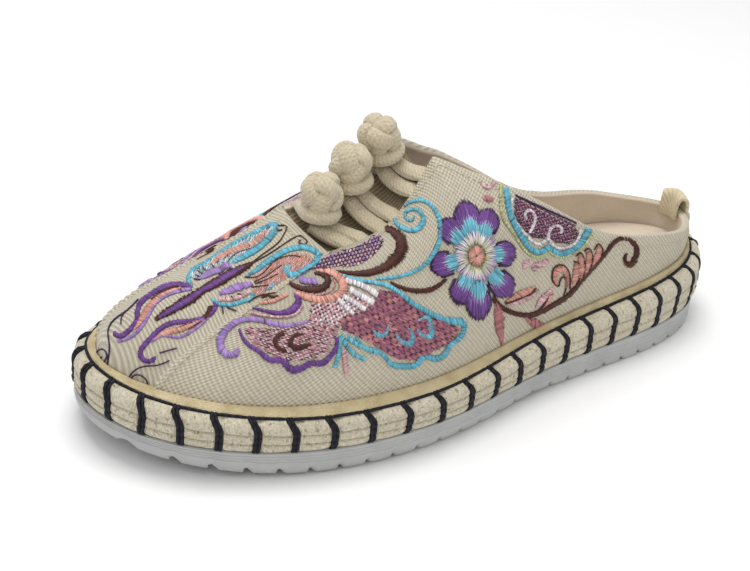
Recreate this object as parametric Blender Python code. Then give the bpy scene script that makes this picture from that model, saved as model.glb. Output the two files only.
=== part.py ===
"""Embroidered mule, a left shoe, modelled the way it is put together.

The sole stack is one outline, offset inwards piece by piece: a lugged rubber outsole, a foam
midsole, a ribbed cotton band round it, and a piping strip on the band's top edge. The upper is
one hollow canvas wall lofted through ribs that stand on the sole, open at the collar, down the
throat slot and underneath. An elastic gore closes the slot from inside, and three cord frogs
cross it. Metres, +Z up, +Y to the toe, +X to the wearer's big toe, origin under the middle.
"""
import bpy
import bmesh
import numpy as np
from collections import namedtuple

# Driving sizes of the last
LENGTH = 0.2595           # sole, heel to toe
BALL_WIDTH = 0.098        # sole across the ball
INSTEP_HEIGHT = 0.084     # floor to the collar's front corners
HEEL_HEIGHT = 0.037       # floor to the collar at the back

# Driving sizes of the sole
OUTSOLE_HEIGHT = 0.0093   # floor to the outsole's upper face
BAND_HEIGHT = 0.0104      # cotton band, over the outsole
BAND_THICKNESS = 0.0047
HEEL_RISE = 0.0075        # how much taller the band is at the heel
TOE_SPRING = 0.0065       # how far the sole lifts at the toe
ARCH_HEIGHT = 0.0010      # how far the waist of the outsole stands off the floor
OUTSOLE_INSET = 0.0008    # outsole's side, behind the band's
BALL_EDGE_ROUND = 0.0042  # round of the outsole's lower edge at the ball
HEEL_EDGE_ROUND = 0.0012
LUG_PITCH = 0.0096        # from one tread groove to the next
LUG_DEPTH = 0.0020
LUG_MOUTH = 0.0030        # tread groove's width at the floor
GROOVE_DEPTH = 0.0006     # lengthwise grooves of the band
GROOVE_WIDTH = 0.0010

# Driving sizes of the upper and of what it carries
WALL = 0.0020             # canvas with its lining
SEAM_STEP = 0.0007        # quarters lapped over the apron
UPPER_INSET = 0.0083      # upper's foot, inside the sole's outline
FOOT_DEPTH = 0.0020       # upper's foot, below the band's top
PIPING_INSET = 0.0028
PIPING_HEIGHT = 0.0026
PIPING_ROLL = 0.0009      # thickness of the piping's top roll
INSOLE_THICKNESS = 0.0030
GORE_THICKNESS = 0.0012
GORE_SAG = 0.0030
STEM_WIDTH = 0.0120       # a frog's two stem cords together
STEM_THICKNESS = 0.0042
CORD_RADIUS = 0.0024      # a frog's loop cord
NECK_RADIUS = 0.0020      # waist of a knot, inside its loop
KNOT_RADIUS = 0.0071
KNOT_FLATNESS = 0.90      # a knot's height, as a share of its width
KNOT_HEIGHT = 0.0063      # middle of a knot, above the middle of its loop's cord
TAB_RISE = 0.0062         # pull tab, above the collar
TAB_STRIP = 0.0014
GAP = 0.0003              # between pieces that touch
SOFT_GAP = 0.0008         # between the gore, the wall over it and the stems on it

# Sole outline: along from the heel as a share of LENGTH, across as a share of BALL_WIDTH,
# minus to the outer side. It runs from the heel along the outer side, round the toe and back.
Corner = namedtuple("Corner", "along across")
OUTLINE = (
    Corner(0.000, 0.000), Corner(0.049, -0.214), Corner(0.136, -0.321), Corner(0.279, -0.372),
    Corner(0.433, -0.423), Corner(0.586, -0.505), Corner(0.703, -0.515), Corner(0.877, -0.393),
    Corner(0.973, -0.184), Corner(1.000, 0.051), Corner(0.975, 0.245), Corner(0.884, 0.413),
    Corner(0.734, 0.469), Corner(0.586, 0.418), Corner(0.433, 0.342), Corner(0.279, 0.316),
    Corner(0.133, 0.321), Corner(0.045, 0.214),
)

# Ribs of the upper, one for each corner of the outline. Each climbs from the upper's foot, past
# a flank that rises and bulges, over a shoulder, to the opening's edge. Along is a share of
# LENGTH, across and bulge of BALL_WIDTH, rise of the height from band to instep, and lift runs
# from 0 at the heel's collar height to 1 at the instep's.
Rib = namedtuple("Rib", "edge_across edge_along edge_lift rise bulge "
                        "shoulder_across shoulder_along shoulder_lift")
RIBS = (
    Rib(0.005, 0.031, 0.000, 0.06, 0.006, 0.005, 0.026, -0.085),
    Rib(-0.168, 0.078, 0.028, 0.06, 0.006, -0.173, 0.074, -0.053),
    Rib(-0.240, 0.147, 0.100, 0.08, 0.008, -0.250, 0.147, 0.000),
    Rib(-0.257, 0.277, 0.253, 0.12, 0.010, -0.286, 0.277, 0.128),
    Rib(-0.225, 0.405, 0.613, 0.19, 0.020, -0.316, 0.420, 0.340),
    Rib(-0.122, 0.561, 1.000, 0.28, 0.031, -0.306, 0.559, 0.787),
    Rib(-0.133, 0.601, 0.675, 0.28, 0.031, -0.322, 0.632, 0.635),
    Rib(-0.148, 0.671, 0.498, 0.28, 0.036, -0.308, 0.733, 0.435),
    Rib(-0.153, 0.718, 0.479, 0.23, 0.020, -0.209, 0.818, 0.287),
    Rib(-0.010, 0.729, 0.564, 0.30, 0.087, 0.008, 0.864, 0.298),
    Rib(0.122, 0.720, 0.574, 0.28, 0.071, 0.143, 0.806, 0.202),
    Rib(0.117, 0.671, 0.620, 0.28, 0.036, 0.235, 0.733, 0.330),
    Rib(0.102, 0.607, 0.766, 0.27, 0.031, 0.263, 0.656, 0.570),
    Rib(0.087, 0.550, 0.957, 0.28, 0.026, 0.235, 0.556, 0.787),
    Rib(0.182, 0.405, 0.570, 0.19, 0.015, 0.245, 0.413, 0.340),
    Rib(0.204, 0.277, 0.202, 0.12, 0.010, 0.230, 0.277, 0.128),
    Rib(0.219, 0.147, 0.070, 0.08, 0.008, 0.230, 0.147, 0.000),
    Rib(0.153, 0.074, 0.010, 0.06, 0.006, 0.158, 0.070, -0.053),
)
COLLAR_OUTER, APRON_OUTER, APRON_INNER, COLLAR_INNER = 5, 8, 10, 13
CORNERS = (COLLAR_OUTER, APRON_OUTER, APRON_INNER, COLLAR_INNER)

# Stations round the shoe, from one corner of the opening to the next
COLLAR_STATIONS, SLOT_STATIONS, APRON_STATIONS = 20, 14, 12
LAP = 0.0004              # half the width of the lap's step, along the outline

# Frogs, from the apron back. A stem starts at the place outer along the slot's outer edge and
# aims at the place inner on its inner edge (0 at the apron, 1 at the collar). It stops at the
# knot, a share across of the way, where it stands off the gore by a share lift of its thickness.
# The loop's ends go under the inner edge at the place ends.
Frog = namedtuple("Frog", "outer inner across lift ends")
FROGS = (
    Frog(0.30, -0.04, 0.52, 0.4, 0.16),
    Frog(0.58, 0.40, 0.64, 1.2, 0.46),
    Frog(0.86, 0.78, 0.74, 0.8, 0.78),
)

# Half section of a frog's stem, two cords side by side: shares of its half width and thickness
STEM_SECTION = ((0.93, 0.0), (1.0, 0.45), (0.82, 0.86), (0.5, 1.0), (0.2, 0.86), (0.0, 0.62))

# Sections of a frog's stem: way is the share of the way to the knot, height and width are shares
# of the stem's, and past is how far beyond the knot's middle, as a share of NECK_RADIUS
StemRow = namedtuple("StemRow", "way height width past")
STEM_ROWS = (
    StemRow(0.12, 0.50, 1.00, 0.0), StemRow(0.27, 0.85, 1.00, 0.0), StemRow(0.50, 1.00, 0.97, 0.0),
    StemRow(1.00, 0.95, 0.85, 0.0), StemRow(1.00, 0.60, 0.60, 0.9),
)
LOOP_TIP = 0.5            # how thick a loop's cord is at its ends, as a share of its thickness
KNOT_LOBES = 4
LOBE_DEPTH = 0.08         # hollows between a knot's lobes, as a share of its radius
LOBE_TWIST = 200.0        # how far the lobes turn round the knot for each metre up it


def spline_bends(steps, values, closed):
    """Second derivatives at the knots of a cubic spline: closed, or straight at its ends."""
    count = len(steps) if closed else len(steps) + 1
    matrix = np.zeros((count, count))
    right = np.zeros((count, values.shape[1]))
    for i in range(count):
        if not closed and i in (0, count - 1):
            matrix[i, i] = 1
            continue
        before, after = steps[i - 1], steps[i]
        matrix[i, (i - 1) % count] += before
        matrix[i, i] += 2 * (before + after)
        matrix[i, (i + 1) % count] += after
        rise_after = (values[(i + 1) % len(values)] - values[i]) / after
        rise_before = (values[i] - values[i - 1]) / before
        right[i] = 6 * (rise_after - rise_before)
    return np.linalg.solve(matrix, right)


def spline(knots, values, at, closed=False):
    """Cubic spline through values at knots, read at the places at: points and slopes."""
    bends = spline_bends(np.diff(knots), values, closed)
    if closed:
        values = np.vstack([values, values[:1]])
        bends = np.vstack([bends, bends[:1]])
    i = np.clip(np.searchsorted(knots, at, side="right") - 1, 0, len(knots) - 2)
    step = (knots[i + 1] - knots[i])[:, None]
    a = (knots[i + 1] - at)[:, None] / step
    b = 1 - a
    points = a * values[i] + b * values[i + 1]
    points += ((a ** 3 - a) * bends[i] + (b ** 3 - b) * bends[i + 1]) * step ** 2 / 6
    slopes = (values[i + 1] - values[i]) / step
    slopes += ((3 * b * b - 1) * bends[i + 1] - (3 * a * a - 1) * bends[i]) * step / 6
    return points, slopes


OUTLINE_POINTS = np.array([(c.across * BALL_WIDTH, c.along * LENGTH) for c in OUTLINE])
SIDES = np.linalg.norm(np.diff(np.vstack([OUTLINE_POINTS, OUTLINE_POINTS[:1]]), axis=0), axis=1)
KNOTS = np.concatenate([[0], np.cumsum(SIDES)])
ROUND = KNOTS[-1]
FINE, _ = spline(KNOTS, OUTLINE_POINTS, np.linspace(0, ROUND, 721), closed=True)
MIDDLE = (FINE.min(axis=0) + FINE.max(axis=0)) / 2


def outline(at):
    """Points of the sole's outline, and the directions that point out of it."""
    points, slopes = spline(KNOTS, OUTLINE_POINTS, at % ROUND, closed=True)
    out = np.stack([-slopes[:, 1], slopes[:, 0]], axis=1)
    return points - MIDDLE, out / np.linalg.norm(out, axis=1, keepdims=True)


def along(y):
    """Share of the length, from the heel."""
    return (y + MIDDLE[1]) / LENGTH


def toe_lift(y):
    """Height of the toe spring, starting ahead of the ball."""
    return TOE_SPRING * np.clip((along(y) - 0.726) / 0.27, 0, None) ** 2.2


def heel_lift(y):
    """Height that the band gains from the ball back to the heel."""
    return HEEL_RISE * np.clip((0.63 - along(y)) / 0.63, 0, 1) ** 1.5


def floor_level(y):
    """Underside of the outsole: flat at heel and ball, with a low arch and the toe spring."""
    arch = np.sin(np.pi * np.clip((along(y) - 0.33) / 0.20, 0, 1)) ** 2
    return toe_lift(y) + ARCH_HEIGHT * arch


def outsole_level(y):
    return OUTSOLE_HEIGHT + 0.65 * toe_lift(y)


def band_level(y):
    return OUTSOLE_HEIGHT + GAP + BAND_HEIGHT + 0.8 * toe_lift(y) + heel_lift(y)


def edge_round(y):
    """Round of the outsole's lower edge, from the heel's to the ball's."""
    blend = np.clip((along(y) - 0.2) / 0.4, 0, 1)
    return HEEL_EDGE_ROUND + (BALL_EDGE_ROUND - HEEL_EDGE_ROUND) * blend


def ring(at, inset, level, extra=0.0):
    """Closed ring of points at an inset from the outline, at a level that follows its place."""
    points, out = outline(at)
    points = points - out * np.reshape(inset, (-1, 1))
    return np.column_stack([points, level(points[:, 1]) + extra])


def lift_height(lift):
    return HEEL_HEIGHT + lift * (INSTEP_HEIGHT - HEEL_HEIGHT)


def opening_edge(at):
    """Edge of collar, slot and apron: a spline from each of the opening's corners to the next."""
    rows = np.array([(r.edge_across * BALL_WIDTH, r.edge_along * LENGTH, lift_height(r.edge_lift))
                     for r in RIBS])
    rows[:, :2] -= MIDDLE
    count = len(RIBS)
    edge = np.zeros((len(at), 3))
    for first, last in zip(CORNERS, CORNERS[1:] + (CORNERS[0] + count,)):
        index = np.arange(first, last + 1)
        knots = KNOTS[index % count] + ROUND * (index // count)
        place = np.where(at % ROUND < knots[0], at % ROUND + ROUND, at % ROUND)
        inside = place <= knots[-1]
        edge[inside] = spline(knots, rows[index % count], place[inside])[0]
    return edge


def canvas(at, share):
    """Face of the upper at places round the outline and shares of the way up each rib."""
    foot, out = outline(at)
    foot = foot - out * UPPER_INSET
    foot = np.column_stack([foot, band_level(foot[:, 1]) - FOOT_DEPTH])
    out = np.column_stack([out, np.zeros(len(at))])
    rise = INSTEP_HEIGHT - OUTSOLE_HEIGHT - BAND_HEIGHT
    table = np.array([(r.rise * rise, r.bulge * BALL_WIDTH,
                       r.shoulder_across * BALL_WIDTH - MIDDLE[0],
                       r.shoulder_along * LENGTH - MIDDLE[1],
                       lift_height(r.shoulder_lift)) for r in RIBS])
    row, _ = spline(KNOTS, table, at % ROUND, closed=True)
    flank = foot + out * row[:, 1:2] + np.array([0, 0, 1]) * row[:, 0:1]
    shoulder = row[:, 2:5]
    edge = opening_edge(at)
    s = np.asarray(share)[None, :, None]
    return ((1 - s) ** 3 * foot[:, None] + 3 * s * (1 - s) ** 2 * flank[:, None]
            + 3 * s * s * (1 - s) * shoulder[:, None] + s ** 3 * edge[:, None])


def canvas_normal(at, share):
    """Direction that points out of the upper's face, from small steps along and up it."""
    step = 0.0005
    share = np.asarray(share)
    low = np.clip(share - 0.01, 0, 1)
    high = np.clip(share + 0.01, 0, 1)
    forward = canvas(at + step, share) - canvas(at - step, share)
    upward = canvas(at, high) - canvas(at, low)
    normal = np.cross(upward, forward)
    return normal / np.linalg.norm(normal, axis=2, keepdims=True)


def offset_canvas(at, share, distance):
    """The upper's face moved out by a distance, one for all or one for each place."""
    distance = np.reshape(distance, (-1, 1, 1))
    return canvas(at, share) + canvas_normal(at, share) * distance


def stations():
    """Places round the outline where every ring has a point, and the lap's step at each."""
    knot = [KNOTS[c] for c in CORNERS]
    places = [
        np.linspace(0, knot[0], COLLAR_STATIONS, endpoint=False),
        np.linspace(knot[0], knot[1] - LAP, SLOT_STATIONS + 1),
        np.linspace(knot[1] + LAP, knot[2] - LAP, APRON_STATIONS + 1),
        np.linspace(knot[2] + LAP, knot[3], SLOT_STATIONS, endpoint=False),
        np.linspace(knot[3], ROUND, COLLAR_STATIONS, endpoint=False),
    ]
    steps = [np.full(len(p), 0.0 if i == 2 else SEAM_STEP) for i, p in enumerate(places)]
    return np.concatenate(places), np.concatenate(steps)


AT, STEP = stations()
COUNT = len(AT)


def material(name, colour, roughness):
    made = bpy.data.materials.new(name)
    made.use_nodes = True
    shader = made.node_tree.nodes["Principled BSDF"]
    shader.inputs["Base Color"].default_value = (*colour, 1)
    shader.inputs["Roughness"].default_value = roughness
    shader.inputs["Metallic"].default_value = 0.0
    return made


def add_body(name, points, faces, finish):
    """One closed body, its faces turned outwards and its round faces shaded smooth."""
    mesh = bpy.data.meshes.new(name)
    mesh.from_pydata([tuple(p) for p in points], [], faces)
    work = bmesh.new()
    work.from_mesh(mesh)
    bmesh.ops.recalc_face_normals(work, faces=work.faces[:])
    bmesh.ops.triangulate(work, faces=[f for f in work.faces if len(f.verts) > 3])
    work.to_mesh(mesh)
    work.free()
    mesh.shade_smooth()
    mesh.set_sharp_from_angle(angle=np.radians(40))
    mesh.materials.append(finish)
    body = bpy.data.objects.new(name, mesh)
    bpy.context.collection.objects.link(body)
    return body


def ring_faces(rings, count, closed):
    """Quads between each ring of points and the next, and back to the first if closed."""
    last = rings if closed else rings - 1
    return [(a * count + i, a * count + (i + 1) % count,
             (a + 1) % rings * count + (i + 1) % count, (a + 1) % rings * count + i)
            for a in range(last) for i in range(count)]


def ladder(start, count):
    """Faces that fill a ring with rungs from its outer to its inner side."""
    faces = []
    for i in range(count // 2):
        rung = [start + i, start + i + 1, start + (count - i - 1) % count,
                start + (count - i) % count]
        unique = list(dict.fromkeys(rung))
        faces.append(tuple(unique[:3]))
        if len(unique) == 4:
            faces.append((unique[0], unique[2], unique[3]))
    return faces


def add_slab(name, rings, finish):
    """Body between rings stacked from bottom to top, closed by a ladder at each end."""
    faces = ring_faces(len(rings), COUNT, closed=False)
    faces += ladder(0, COUNT) + ladder((len(rings) - 1) * COUNT, COUNT)
    return add_body(name, np.concatenate(rings), faces, finish)


def add_hoop(name, rings, finish):
    """Body round the shoe whose section is the loop of rings."""
    return add_body(name, np.concatenate(rings), ring_faces(len(rings), COUNT, closed=True), finish)


def add_sheet(name, top, bottom, finish):
    """Body between two like grids of points, closed round its border."""
    rows, columns = top.shape[:2]
    size = rows * columns
    faces = []
    for r in range(rows - 1):
        for c in range(columns - 1):
            a = r * columns + c
            b = a + columns
            faces.append((a, a + 1, b + 1, b))
            faces.append((size + a, size + b, size + b + 1, size + a + 1))
    border = [c for c in range(columns)]
    border += [r * columns + columns - 1 for r in range(1, rows)]
    border += [(rows - 1) * columns + c for c in range(columns - 2, -1, -1)]
    border += [r * columns for r in range(rows - 2, 0, -1)]
    for a, b in zip(border, border[1:] + border[:1]):
        faces.append((a, size + a, size + b, b))
    return add_body(name, np.concatenate([top.reshape(-1, 3), bottom.reshape(-1, 3)]), faces, finish)


def add_outsole(finish):
    """Rubber outsole with a rounded lower edge, grooved across into saw-toothed lugs."""
    round_off = edge_round(outline(AT)[0][:, 1])
    floor = ring(AT, OUTSOLE_INSET + round_off, floor_level)
    curve = ring(AT, OUTSOLE_INSET + 0.3 * round_off, floor_level)
    curve[:, 2] += 0.3 * round_off
    side = ring(AT, OUTSOLE_INSET, floor_level)
    side[:, 2] += round_off
    top = ring(AT, OUTSOLE_INSET, outsole_level)
    outsole = add_slab("outsole", [floor, curve, side, top], finish)
    cutter = add_lug_cutter(finish)
    cut = outsole.modifiers.new("lugs", "BOOLEAN")
    cut.operation = "DIFFERENCE"
    cut.solver = "EXACT"
    cut.object = cutter
    return outsole


def add_lug_cutter(finish):
    """Bars across the sole, steep on their front and sloping on their back."""
    reach = BALL_WIDTH
    below = 2 * LUG_DEPTH
    count = int(LENGTH / LUG_PITCH)
    points, faces = [], []
    for k in range(count):
        front = (k + 0.5 - count / 2) * LUG_PITCH + LUG_MOUTH / 2
        base = float(floor_level(np.array([front]))[0])
        section = [(front, base - below), (front, base + LUG_DEPTH),
                   (front - 0.35 * LUG_MOUTH, base + LUG_DEPTH), (front - LUG_MOUTH, base),
                   (front - LUG_MOUTH, base - below)]
        start = len(points)
        size = len(section)
        for x in (-reach, reach):
            points += [(x, y, z) for y, z in section]
        faces.append(tuple(start + i for i in range(size)))
        faces.append(tuple(start + size + i for i in reversed(range(size))))
        for i in range(size):
            j = (i + 1) % size
            faces.append((start + i, start + size + i, start + size + j, start + j))
    cutter = add_body("lug_cutter", points, faces, finish)
    cutter.hide_render = True
    cutter.display_type = "WIRE"
    return cutter


def add_midsole(finish):
    inset = BAND_THICKNESS + GAP
    return add_slab("midsole", [ring(AT, inset, outsole_level, GAP),
                                ring(AT, inset, band_level, -FOOT_DEPTH - GAP)], finish)


def add_insole(finish):
    """Insole board inside the upper, its upper edge softened and drawn in with the wall."""
    foot = ring(AT, UPPER_INSET + WALL + GAP, band_level, -FOOT_DEPTH)
    top = INSOLE_THICKNESS - FOOT_DEPTH
    soft = INSOLE_THICKNESS / 4
    return add_slab("insole", [foot, face_at_height(top - soft, -WALL, -SOFT_GAP),
                               face_at_height(top, -WALL, -SOFT_GAP - soft)], finish)


def add_band(finish):
    """Cotton band round the sole: swollen, with three grooves along it."""
    swell = 0.0012
    half = GROOVE_WIDTH / 2 / BAND_HEIGHT
    profile = [(0.0, BAND_THICKNESS), (0.0, swell), (0.12, 0.25 * swell)]
    for middle in (0.28, 0.50, 0.72):
        belly = 0.4 * swell * (2 * middle - 1) ** 2
        profile += [(middle - half, belly), (middle, belly + GROOVE_DEPTH), (middle + half, belly)]
    profile += [(0.90, 0.3 * swell), (1.0, 1.6 * swell), (1.0, BAND_THICKNESS)]
    rings = []
    for share, inset in profile:
        low = ring(AT, inset, outsole_level, GAP)
        high = ring(AT, inset, band_level)
        rings.append(low + (high - low) * share)
    return add_hoop("foxing_band", rings, finish)


def face_at_height(height, distance, clearance):
    """Ring on the upper at a height over the band's top, held off it by a clearance.

    The face it follows is the canvas moved out by a distance: the lap's step, or inwards the wall.
    """
    share = np.linspace(0, 0.5, 41)
    face = offset_canvas(AT, share, np.broadcast_to(distance, COUNT))
    points = np.zeros((COUNT, 3))
    _, out = outline(AT)
    for i in range(COUNT):
        level = float(band_level(face[i, :1, 1])[0]) + height
        for axis in range(2):
            points[i, axis] = np.interp(level, face[i, :, 2], face[i, :, axis])
        points[i, 2] = level
    points[:, :2] += out * clearance
    return points


def add_piping(finish):
    """Strip of leathercloth between band and upper, with a rolled top against the canvas."""
    inner = BAND_THICKNESS + GAP
    tuck = GAP - FOOT_DEPTH
    rings = [
        ring(AT, PIPING_INSET, band_level, GAP),
        ring(AT, PIPING_INSET + 0.0003, band_level, 0.45 * PIPING_HEIGHT),
        face_at_height(0.80 * PIPING_HEIGHT, STEP, GAP + 1.3 * PIPING_ROLL),
        face_at_height(PIPING_HEIGHT, STEP, GAP + 0.6 * PIPING_ROLL),
        face_at_height(0.92 * PIPING_HEIGHT, STEP, GAP),
        face_at_height(tuck, STEP, GAP),
        ring(AT, inner, band_level, tuck),
        ring(AT, inner, band_level, GAP),
    ]
    return add_hoop("piping", rings, finish)


def add_upper(finish):
    """Canvas upper with its lining: outer and inner faces joined at the foot and the opening."""
    outer_share = np.array([0, 0.09, 0.2, 0.33, 0.47, 0.61, 0.74, 0.87, 1.0])
    inner_share = np.array([1.0, 0.85, 0.68, 0.5, 0.33, 0.17, 0])
    outer = offset_canvas(AT, outer_share, STEP)
    inner = offset_canvas(AT, inner_share, -WALL)
    foot, out = outline(AT)
    level = band_level((foot - out * UPPER_INSET)[:, 1]) - FOOT_DEPTH
    outer[:, 0, :2] = foot - out * (UPPER_INSET - STEP[:, None])
    inner[:, -1, :2] = foot - out * (UPPER_INSET + WALL)
    outer[:, 0, 2] = level
    inner[:, -1, 2] = level
    rings = [outer[:, k] for k in range(len(outer_share))]
    rings += [inner[:, k] for k in range(len(inner_share))]
    return add_hoop("upper", rings, finish)


def slot_places(share):
    """Places on the slot's outer and inner edge, 0 at the apron and 1 at the collar."""
    outer = KNOTS[APRON_OUTER] + (KNOTS[COLLAR_OUTER] - KNOTS[APRON_OUTER]) * share
    inner = KNOTS[APRON_INNER] + (KNOTS[COLLAR_INNER] - KNOTS[APRON_INNER]) * share
    return outer, inner


def slot_edges(outer_share, inner_share, depth, tuck):
    """Points under the slot's outer and inner edge at a depth, at shares of the way up the ribs."""
    outer_at, _ = slot_places(outer_share)
    _, inner_at = slot_places(inner_share)
    return (offset_canvas(np.array([outer_at]), tuck, -depth)[0],
            offset_canvas(np.array([inner_at]), tuck, -depth)[0])


def bridge(outer, inner, across):
    """Points on the gore's sagging line from the slot's outer to its inner edge."""
    across = np.reshape(across, (-1, 1))
    sag = GORE_SAG * 4 * across * (1 - across)
    return outer + (inner - outer) * across - sag * np.array([0, 0, 1])


def gore_face(depth):
    """Grid of points on the gore at a depth under the wall: tucked, sagging across the slot.

    Its rows stand at the wall's own stations, closer together where the collar turns.
    """
    tuck = np.array([0.86, 0.93, 1.0])
    across = np.linspace(0, 1, 7)[1:-1]
    rows = []
    for share in 1 - np.array([0, 1, 2, 4, 6, 8, 10, 12, 14]) / SLOT_STATIONS:
        outer, inner = slot_edges(share, share, depth, tuck)
        rows.append(np.vstack([outer, bridge(outer[-1], inner[-1], across), inner[::-1]]))
    columns = len(rows[0])
    front = np.linspace(KNOTS[APRON_OUTER], KNOTS[APRON_INNER], columns)
    rows.append(offset_canvas(front, [0.90], -depth)[:, 0])
    return np.array(rows)


def add_gore(finish):
    """Elastic gore sewn inside the slot, tucked under its edges and under the apron."""
    top = gore_face(WALL + SOFT_GAP)
    bottom = gore_face(WALL + SOFT_GAP + GORE_THICKNESS)
    return add_sheet("gore", top, bottom, finish)


def unit(vector):
    return vector / np.linalg.norm(vector)


def slot_share(distance):
    """A distance along the slot's outer edge, as a share of that edge's straight length."""
    ends = opening_edge(np.array([KNOTS[APRON_OUTER], KNOTS[COLLAR_OUTER]]))
    return distance / np.linalg.norm(ends[1] - ends[0])


def gore_points(frog, shares, step=0.0):
    """Points on the gore under a frog, at shares of the way from its outer to its inner edge.

    A step moves them along the slot, towards the collar.
    """
    points = []
    for share in shares:
        place = frog.outer + (frog.inner - frog.outer) * share + step
        outer, inner = slot_edges(place, place, WALL + SOFT_GAP, [1.0])
        points.append(bridge(outer[0], inner[0], share)[0])
    return np.array(points)


def stem_line(frog, shares, up):
    """Points on a stem's underside, and the direction along the slot at each.

    They clear the gore under the stem's middle and both its sides, and lift towards the knot.
    """
    line = gore_points(frog, shares)
    reach = slot_share(STEM_WIDTH / 2)
    front = gore_points(frog, shares, -reach)
    back = gore_points(frog, shares, reach)
    hollow = np.maximum(((front + back) / 2 - line).dot(up), 0)
    lift = frog.lift * STEM_THICKNESS * (shares / frog.across) ** 1.5
    line += up * (SOFT_GAP + hollow + lift)[:, None]
    return line, (front - back) / np.linalg.norm(front - back, axis=1, keepdims=True)


def frog_frame(frog):
    """Where a frog's knot stands, and its directions across the slot, along it and up."""
    ahead = gore_points(frog, [0.5], -0.1)[0]
    behind = gore_points(frog, [0.5], 0.1)[0]
    slope = unit((ahead - behind) * np.array([0, 1, 1]))
    up = unit(np.cross(np.array([1, 0, 0]), slope) + np.array([0, 0, 1]))
    start, end = gore_points(frog, [0.0, 1.0])
    across = end - start
    across = unit(across - up * across.dot(up))
    seat = stem_line(frog, np.array([frog.across]), up)[0][0]
    return seat, across, np.cross(up, across), up


def add_stem(name, frog, finish):
    """Two cords side by side, from under the slot's outer edge to the foot of the knot."""
    _, across, _, up = frog_frame(frog)
    section = STEM_SECTION + tuple((-s, h) for s, h in reversed(STEM_SECTION[:-1]))
    shares = np.array([row.way for row in STEM_ROWS]) * frog.across
    line, along_slot = stem_line(frog, shares, up)
    points = []
    for row, middle, side in zip(STEM_ROWS, line, along_slot):
        middle = middle + across * row.past * NECK_RADIUS
        for s, h in section:
            points.append(middle + side * (s * row.width * STEM_WIDTH / 2)
                          + up * (h * row.height * STEM_THICKNESS))
    size, rows = len(section), len(STEM_ROWS)
    faces = [(r * size + i, r * size + (i + 1) % size, (r + 1) * size + (i + 1) % size,
              (r + 1) * size + i) for r in range(rows - 1) for i in range(size)]
    for start in (0, (rows - 1) * size):
        waist = start + len(STEM_SECTION) - 1
        faces.append(tuple(range(start, waist + 1)))
        faces.append(tuple(range(waist, start + size)))
        faces.append((start, waist, start + size - 1))
    return add_body(name, points, faces, finish)


def add_loop(name, frog, finish):
    """Cord from under the slot's inner edge, round the knot's neck and back beside itself."""
    seat, across, forward, up = frog_frame(frog)
    middle = seat + up * (GAP + STEM_THICKNESS + CORD_RADIUS)
    bend = NECK_RADIUS + GAP + CORD_RADIUS
    open_angle = np.arcsin((CORD_RADIUS + GAP) / bend)
    curve = bpy.data.curves.new(name, "CURVE")
    points, sizes = [], []
    for angle in np.linspace(open_angle, 2 * np.pi - open_angle, 13):
        points.append(middle + across * bend * np.cos(angle) + forward * bend * np.sin(angle))
        sizes.append(1.0)
    tips = []
    for side in (-1, 1):
        place = frog.ends + side * slot_share(CORD_RADIUS + GAP)
        near, far = (edge[0] for edge in slot_edges(place, place, WALL + SOFT_GAP, [1.0]))
        clear = (LOOP_TIP * CORD_RADIUS + SOFT_GAP) / np.linalg.norm(far - near)
        tips.append(bridge(near, far, 1 - clear)[0] + up * (SOFT_GAP + LOOP_TIP * CORD_RADIUS))
    points = [tips[0]] + points + [tips[1]]
    sizes = [LOOP_TIP] + sizes + [LOOP_TIP]
    curve.dimensions = "3D"
    curve.bevel_depth = CORD_RADIUS
    curve.bevel_resolution = 2
    curve.use_fill_caps = True
    line = curve.splines.new("POLY")
    line.points.add(len(points) - 1)
    for point, place, size in zip(line.points, points, sizes):
        point.co = (*place, 1)
        point.radius = size
    curve.materials.append(finish)
    loop = bpy.data.objects.new(name, curve)
    bpy.context.collection.objects.link(loop)
    return loop


def add_knot(name, frog, finish):
    """Button knot: a ball with lobes of interlaced cord, on a neck through its loop."""
    seat, across, forward, up = frog_frame(frog)
    middle = seat + up * (GAP + STEM_THICKNESS + CORD_RADIUS)
    columns = 16
    foot_height = -CORD_RADIUS
    height = KNOT_RADIUS * KNOT_FLATNESS
    under = KNOT_HEIGHT - CORD_RADIUS - GAP
    profile = [(foot_height, NECK_RADIUS), (0.6 * CORD_RADIUS, NECK_RADIUS)]
    for tilt in np.radians([-55, -30, 0, 20, 40, 62]):
        half = height if tilt > 0 else under
        profile.append((KNOT_HEIGHT + half * np.sin(tilt), KNOT_RADIUS * np.cos(tilt)))
    points = []
    for level, radius in profile:
        for i in range(columns):
            angle = 2 * np.pi * i / columns
            wave = np.cos(KNOT_LOBES * angle + LOBE_TWIST * level)
            lobe = LOBE_DEPTH * (wave - 1) / 2 * (radius > NECK_RADIUS)
            turn = across * np.cos(angle) + forward * np.sin(angle)
            points.append(middle + up * level + turn * radius * (1 + lobe))
    rows = len(profile)
    faces = ring_faces(rows, columns, closed=False)
    foot = len(points)
    points.append(middle + up * foot_height)
    points.append(middle + up * (KNOT_HEIGHT + 0.97 * height))
    for i in range(columns):
        j = (i + 1) % columns
        faces.append((foot, j, i))
        faces.append((foot + 1, (rows - 1) * columns + i, (rows - 1) * columns + j))
    return add_body(name, points, faces, finish)


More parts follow.
